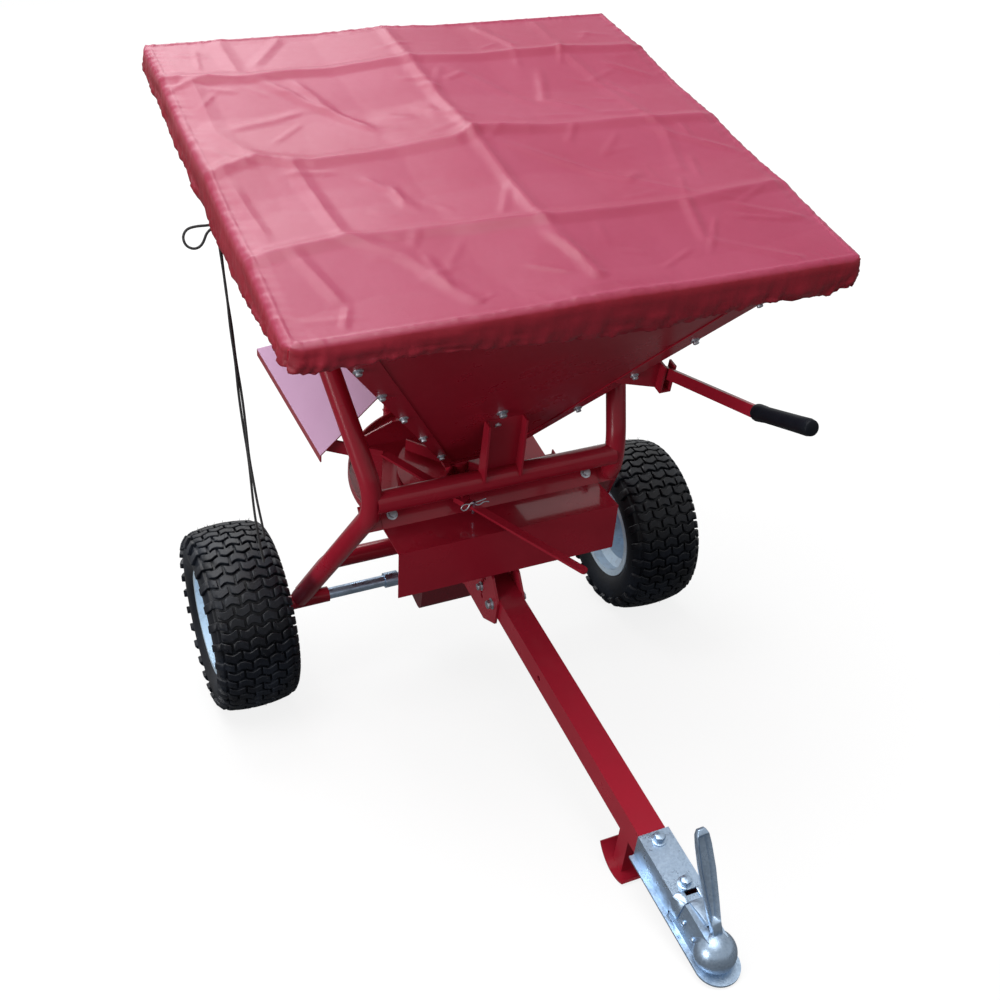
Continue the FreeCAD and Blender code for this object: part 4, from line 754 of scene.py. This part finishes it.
# ---- fasteners -----------------------------------------------------------------------------
def hex_bolt(across, washer, shank=0.0):
    """A hexagon head with a crowned top on a washer, and a shank below if asked."""
    deselect()
    bpy.ops.mesh.primitive_cylinder_add(vertices=6, radius=across / math.sqrt(3), depth=0.62 * across,
                                        location=(0, 0, 0.0016 + 0.31 * across))
    head = bake_place(bpy.context.object)
    open_up(head)
    pick("FACE", lambda co, normal: normal.z > 0.9)
    bpy.ops.mesh.inset(thickness=0.10 * across)
    bpy.ops.transform.translate(value=(0, 0, 0.035 * across))
    close_up()
    modify(head, "BEVEL", width=0.03 * across, segments=1, limit_method="ANGLE", angle_limit=math.radians(40))
    deselect()
    bpy.ops.mesh.primitive_cylinder_add(vertices=20, radius=washer / 2, depth=0.0018, location=(0, 0, 0.0009))
    ring = bake_place(bpy.context.object)
    open_up(ring)
    pick("FACE", lambda co, normal: normal.z > 0.9)
    bpy.ops.mesh.inset(thickness=0.07 * washer)
    bpy.ops.transform.translate(value=(0, 0, 0.0004))
    close_up()
    parts = [head, ring]
    if shank:
        deselect()
        bpy.ops.mesh.primitive_cylinder_add(vertices=14, radius=0.27 * across, depth=shank,
                                            location=(0, 0, -shank / 2))
        rod = bake_place(bpy.context.object)
        open_up(rod)
        pick("FACE", lambda co, normal: normal.z < -0.9)
        bpy.ops.mesh.inset(thickness=0.05 * across)
        bpy.ops.transform.translate(value=(0, 0, -0.05 * across))
        close_up()
        parts.append(rod)
    return join(parts)


def pan_head(width):
    """A rivet's or small screw's domed head."""
    deselect()
    bpy.ops.mesh.primitive_cylinder_add(vertices=16, radius=width / 2, depth=0.3 * width,
                                        location=(0, 0, 0.1 * width))
    head = bake_place(bpy.context.object)
    open_up(head)
    for inset, lift in ((0.13, 0.09), (0.15, 0.05)):
        pick("FACE", lambda co, normal: normal.z > 0.99 and co.xy.length < 0.05 * width)
        bpy.ops.mesh.inset(thickness=inset * width)
        bpy.ops.transform.translate(value=(0, 0, lift * width))
    return close_up()


def stand_on(nodes, start, heading, layout=LEVEL):
    """Where a line from a point first meets the solids: a layout whose z is the way out there."""
    origin = layout @ Vector(start)
    aim = (layout.to_3x3() @ Vector(heading)).normalized()
    hits = []
    for node in nodes.split():
        found, place, out, face = frame["nodes"][node].ray_cast(origin, aim)
        if found:
            hits.append(((place - origin).length, place, out))
    if not hits:
        raise RuntimeError("nothing of %s lies ahead of %s" % (nodes, start))
    place, out = min(hits, key=lambda hit: hit[0])[1:]
    if out.dot(aim) > 0:
        out = -out
    turn = out.to_track_quat("Z", "Y").to_matrix().to_4x4()
    return Matrix.Translation(place) @ turn


def copies(pattern, layouts):
    """The pattern once at each layout; the pattern itself goes."""
    made = []
    for number, layout in enumerate(layouts):
        piece = pattern.copy()
        piece.data = pattern.data.copy()
        bpy.context.collection.objects.link(piece)
        piece.data.transform(layout @ Matrix.Rotation(0.7 * number, 4, "Z"))
        made.append(piece)
    bpy.data.objects.remove(pattern)
    return join(made)


PLATE_FACE = 0.0303


def fasteners():
    ahead, astern = (0, 1, 0), (0, -1, 0)
    places = []
    sides = "hopper_left hopper_right"
    for height, across in ((0.910, 0.354), (0.800, 0.291), (0.687, 0.225), (0.573, 0.158), (0.452, 0.087)):
        for side in (-1, 1):
            places.append(stand_on("hopper_front " + sides, (side * across, -0.7, height), ahead))
            places.append(stand_on("hopper_back " + sides, (side * (across - 0.004), 0.8, height), astern))
    dress(copies(hex_bolt(0.010, 0.017), places), "hopper_bolts", "frame", DULL_ZINC)
    places = [stand_on("hopper_front", (-0.013, -0.7, 0.579), ahead),
              stand_on("hopper_front", (-0.016, -0.7, 0.621), ahead)]
    dress(copies(hex_bolt(0.013, 0.022), places), "bracket_bolts", "frame", DULL_ZINC)
    places = [stand_on("front_shield", (side * 0.208, -0.172, 0.6), (0, 0, -1)) for side in (-1, 1)]
    dress(copies(hex_bolt(0.013, 0.022), places), "shield_bolts", "frame", DULL_ZINC)
    places = [stand_on("coupler_body", (0.001, -along, 0.2), (0, 0, -1), DRAWBAR)
              for along in (0.6285, 0.7160)]
    dress(copies(hex_bolt(0.017, 0.026), places), "coupler_bolts", "frame", ZINC)
    places = [stand_on("coupler_body", (-0.2, -0.7634, 0.000), (1, 0, 0), DRAWBAR),
              stand_on("coupler_body", (-0.2, -0.7930, -0.002), (1, 0, 0), DRAWBAR)]
    places += [stand_on("coupler_body", (0.2, -along, 0.0), (-1, 0, 0), DRAWBAR)
               for along in (0.7634, 0.7930)]
    dress(copies(pan_head(0.0095), places), "coupler_rivets", "frame", ZINC)
    for node, along, across in (("pivot_bolt", 0.0, 0.016), ("set_bolt", 0.054, 0.013)):
        bolt = hex_bolt(across, 1.5 * across, 0.066)
        nut = hex_bolt(across, 1.5 * across)
        for piece, side in ((bolt, -1), (nut, 1)):
            seat = Matrix.Translation((side * PLATE_FACE, along, 0))
            piece.data.transform(DRAWBAR @ seat @ Matrix.Rotation(side * math.pi / 2, 4, "Y"))
        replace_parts(dress(join([bolt, nut]), node + "_hex", "frame", DULL_ZINC), node)


fasteners()


# ---- coupler fittings ----------------------------------------------------------------------
def latch_handle():
    """The coupler's handle: a pressed blade with a deep groove, wide in the middle."""
    base, tip = Vector((0.003, -0.811, 0.026)), Vector((0, -0.716, 0.176))
    run = tip - base
    deselect()
    bpy.ops.mesh.primitive_cube_add(size=1, location=(0, 0, run.length / 2), scale=(0.022, 0.013, run.length))
    blade = bake_place(bpy.context.object)
    open_up(blade)
    for level in (0.12, 0.35, 0.62, 0.85, 0.95):
        bpy.ops.mesh.select_all(action="SELECT")
        bpy.ops.mesh.bisect(plane_co=(0, 0, level * run.length), plane_no=(0, 0, 1))
    for level, wide in ((0, 0.75), (0.12, 0.8), (0.35, 1.02), (0.62, 1.22), (0.85, 1.12), (0.95, 0.95),
                        (1, 0.6)):
        pick("VERT", lambda co, normal: abs(co.z - level * run.length) < 1e-4)
        bpy.ops.transform.resize(value=(wide, 1, 1), center_override=(0, 0, 0))
    pick("VERT", lambda co, normal: co.z > 0.99 * run.length)
    bpy.ops.transform.resize(value=(1, 0.6, 1), center_override=(0, 0.002, 0))
    pick("FACE", lambda co, normal: normal.y < -0.7 and 0.12 * run.length < co.z < 0.95 * run.length)
    bpy.ops.mesh.inset(thickness=0.0068)
    bpy.ops.transform.translate(value=(0, 0.0105, 0))
    close_up()
    modify(blade, "BEVEL", width=0.0016, segments=2, limit_method="ANGLE", angle_limit=math.radians(35))
    turn = run.to_track_quat("Z", "Y").to_matrix().to_4x4() @ Matrix.Rotation(math.pi, 4, "Z")
    blade.data.transform(Matrix.Translation(base) @ turn)
    dress(blade, "latch_handle", "frame", ZINC, DRAWBAR, 40)
    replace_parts(blade, "coupler_handle")


def latch_plate():
    """The sprung plate that the handle works through the top of the coupler's neck."""
    deselect()
    bpy.ops.mesh.primitive_plane_add(size=1, location=(0.004, -0.770, 0.0285))
    plate = bpy.context.object
    plate.scale = (0.021, 0.046, 1)
    bake_place(plate)
    open_up(plate)
    pick("EDGE", lambda co, normal: abs(normal.y) > 0.9 * normal.length)
    bpy.ops.mesh.extrude_region_move(TRANSFORM_OT_translate={"value": (0, 0, -0.006)})
    pick("VERT", lambda co, normal: co.y < -0.785 and co.z > 0.026)
    bpy.ops.transform.translate(value=(0.003, -0.004, 0.004))
    pick("VERT", lambda co, normal: co.y > -0.755)
    bpy.ops.transform.resize(value=(1.25, 1, 1), center_override=(0.004, -0.77, 0.0285))
    close_up()
    modify(plate, "SOLIDIFY", thickness=0.0025, offset=0)
    modify(plate, "BEVEL", width=0.0008, segments=2, limit_method="ANGLE", angle_limit=math.radians(35))
    dress(plate, "latch_plate", "frame", ZINC, DRAWBAR)


def neck_saddle():
    """The shoulders on each side of the latch's slot, where the channel draws in to the neck."""
    sides = []
    for side, inner in ((-1, 0.009), (1, 0.013)):
        deselect()
        bpy.ops.mesh.primitive_grid_add(x_subdivisions=4, y_subdivisions=3, size=1)
        web = bake_place(bpy.context.object)
        open_up(web)
        for column, (rear, front) in enumerate((
                ((inner, 0.0288), (inner, 0.0286)), ((0.0225, 0.0288), (0.0155, 0.0286)),
                ((0.0288, 0.0262), (0.0196, 0.0252)), ((0.0290, 0.010), (0.0232, 0.008)),
                ((0.0290, -0.010), (0.0268, -0.010)))):
            for row in range(4):
                share = row / 3
                ease = share * share * (3 - 2 * share)
                across = rear[0] + (front[0] - rear[0]) * ease
                height = rear[1] + (front[1] - rear[1]) * ease
                here = Vector((column / 4 - 0.5, row / 3 - 0.5, 0))
                there = Vector((side * across, -0.727 - 0.022 * share, height + 1))
                pick("VERT", lambda co, normal: (co - here).length < 0.01)
                bpy.ops.transform.translate(value=there - here)
        bpy.ops.mesh.select_all(action="SELECT")
        bpy.ops.transform.translate(value=(0, 0, -1))
        close_up()
        modify(web, "SOLIDIFY", thickness=0.002, offset=0)
        modify(web, "BEVEL", width=0.0006, segments=2, limit_method="ANGLE", angle_limit=math.radians(50))
        sides.append(web)
    dress(join(sides), "neck_saddle", "frame", ZINC, DRAWBAR, 50)


def control_clip():
    """The spring clip through the control bar's pin: an eye, a straight leg and a wavy one."""
    low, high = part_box("control_pin")
    head = LEVEL.inverted() @ Vector(((low.x + high.x) / 2, (low.y + high.y) / 2, high.z - 0.004))
    line = bpy.data.curves.new("control_clip", "CURVE")
    line.dimensions = "3D"
    spline = line.splines.new("NURBS")
    route = ((0.024, 0.003), (0.010, 0.002), (-0.008, 0.002), (-0.021, 0.006), (-0.028, 0.0),
             (-0.023, -0.008), (-0.013, -0.006), (-0.006, 0.007), (0.004, -0.004), (0.012, -0.006),
             (0.021, -0.001), (0.030, -0.006))
    spline.points.add(len(route) - 1)
    for point, (across, up) in zip(spline.points, route):
        point.co = (*(head + Vector((across, -0.005 + 0.3 * up, up + 0.16 * across))), 1)
    spline.order_u = 3
    spline.use_endpoint_u = True
    line.bevel_depth = 0.0014
    line.bevel_resolution = 3
    line.use_fill_caps = True
    clip = bpy.data.objects.new("control_clip", line)
    bpy.context.collection.objects.link(clip)
    take(clip)
    bpy.ops.object.convert(target="MESH")
    dress(bpy.context.object, "control_clip", "frame", DULL_ZINC, LEVEL, 60)


latch_handle()
latch_plate()
neck_saddle()
control_clip()


# ---- lever grip ----------------------------------------------------------------------------
def lever_grip():
    """A rubber sleeve with rounded ends and a raised collar."""
    elbow, tip = Vector((0.292, -0.503, 0.797)), Vector((0.292, -0.636, 0.871))
    run = tip - elbow
    far = run.normalized()
    start = tip + far * 0.006 - far * 0.150
    deselect()
    bpy.ops.mesh.primitive_cylinder_add(vertices=36, radius=0.015, depth=0.150, location=(0, 0, 0.075))
    sleeve = bake_place(bpy.context.object)
    open_up(sleeve)
    for level in (0.006, 0.018, 0.030, 0.120, 0.140):
        bpy.ops.mesh.select_all(action="SELECT")
        bpy.ops.mesh.bisect(plane_co=(0, 0, level), plane_no=(0, 0, 1))
    for level, wide in ((0.0, 0.93), (0.006, 1.0), (0.018, 0.96), (0.030, 0.9), (0.120, 0.94), (0.140, 0.97),
                        (0.150, 0.86)):
        pick("VERT", lambda co, normal: abs(co.z - level) < 1e-4)
        bpy.ops.transform.resize(value=(wide, wide, 1), center_override=(0, 0, level))
    pick("FACE", lambda co, normal: normal.z > 0.9)
    bpy.ops.mesh.inset(thickness=0.004)
    bpy.ops.transform.translate(value=(0, 0, 0.0015))
    close_up()
    modify(sleeve, "BEVEL", width=0.0016, segments=3, limit_method="ANGLE", angle_limit=math.radians(50))
    sleeve.data.transform(Matrix.Translation(start) @ run.to_track_quat("Z", "Y").to_matrix().to_4x4())
    dress(sleeve, "grip_sleeve", "lever", GRIP, LEVEL, 40)
    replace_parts(sleeve, "lever_grip")


lever_grip()


# ---- floor, light and camera ---------------------------------------------------------------
def studio():
    """A pale floor and a white surround for the eye, and a soft overhead light for the machine."""
    bpy.ops.mesh.primitive_plane_add(size=120)
    floor = bpy.context.object
    floor.name = "floor"
    ground = Finish("pale_floor", (0.16, 0.16, 0.16), 0.9, Specular_IOR_Level=0.0)
    seen = ground.node("ShaderNodeLightPath")
    eye, gloss, through = (Wire(ground, seen.socket.node.outputs[name])
                           for name in ("Is Camera Ray", "Is Glossy Ray", "Is Transmission Ray"))
    seen_by = eye.math("MAXIMUM", eye, eye.math("MAXIMUM", 0.08 * gloss, through))
    far = ground.ramp(ground.node("ShaderNodeVectorMath", {"operation": "LENGTH"}, {0: ground.place},
                                  "Value"), 1.2, 4.5)
    ground.set("Emission Color", ground.blend(seen_by * (0.84 + 0.16 * far), (0, 0, 0), (1, 1, 1)))
    ground.set("Emission Strength", 1.0)
    floor.data.materials.append(ground.material)
    world = bpy.data.worlds.new("studio")
    bpy.context.scene.world = world
    world.use_nodes = True
    tree = world.node_tree
    seen = tree.nodes.new("ShaderNodeLightPath")
    joined = seen.outputs["Is Camera Ray"]
    for name, share in (("Is Glossy Ray", 0.36), ("Is Transmission Ray", 1.0)):
        part, highest = tree.nodes.new("ShaderNodeMath"), tree.nodes.new("ShaderNodeMath")
        part.operation, highest.operation = "MULTIPLY", "MAXIMUM"
        part.inputs[1].default_value = share
        tree.links.new(seen.outputs[name], part.inputs[0])
        tree.links.new(joined, highest.inputs[0])
        tree.links.new(part.outputs[0], highest.inputs[1])
        joined = highest.outputs[0]
    strength = tree.nodes.new("ShaderNodeMapRange")
    strength.inputs["To Min"].default_value = 0.42
    strength.inputs["To Max"].default_value = 1.0
    tree.links.new(joined, strength.inputs["Value"])
    tree.links.new(strength.outputs[0], tree.nodes["Background"].inputs["Strength"])
    tree.nodes["Background"].inputs["Color"].default_value = (1, 1, 1, 1)
    for name, place, aim, size, power in (
            ("overhead", (-0.7, -0.6, 4.2), (0, 0, 0), 3.4, 150),
            ("rear_window", (-0.3, 2.9, 4.1), (0, 0.1, 0.9), 2.8, 75),
            ("left_fill", (-3.6, -1.2, 0.9), (0, 0, 0.3), 1.6, 50)):
        lamp = bpy.data.lights.new(name, "AREA")
        lamp.shape = "DISK"
        lamp.size = size
        lamp.energy = power
        holder = bpy.data.objects.new(name, lamp)
        bpy.context.collection.objects.link(holder)
        holder.location = place
        holder.rotation_euler = (Vector(aim) - Vector(place)).to_track_quat("-Z", "Y").to_euler()


def camera():
    lens = bpy.data.cameras.new("camera")
    lens.lens = 44.626
    lens.sensor_width = 36
    lens.clip_end = 60
    holder = bpy.data.objects.new("camera", lens)
    bpy.context.collection.objects.link(holder)
    holder.location = (-0.84198, -1.89637, 1.48267)
    holder.rotation_euler = [math.radians(turn) for turn in (65.9494, 2.4806, -23.5542)]
    bpy.context.scene.camera = holder


studio()
camera()
bpy.context.scene.view_settings.view_transform = "Standard"
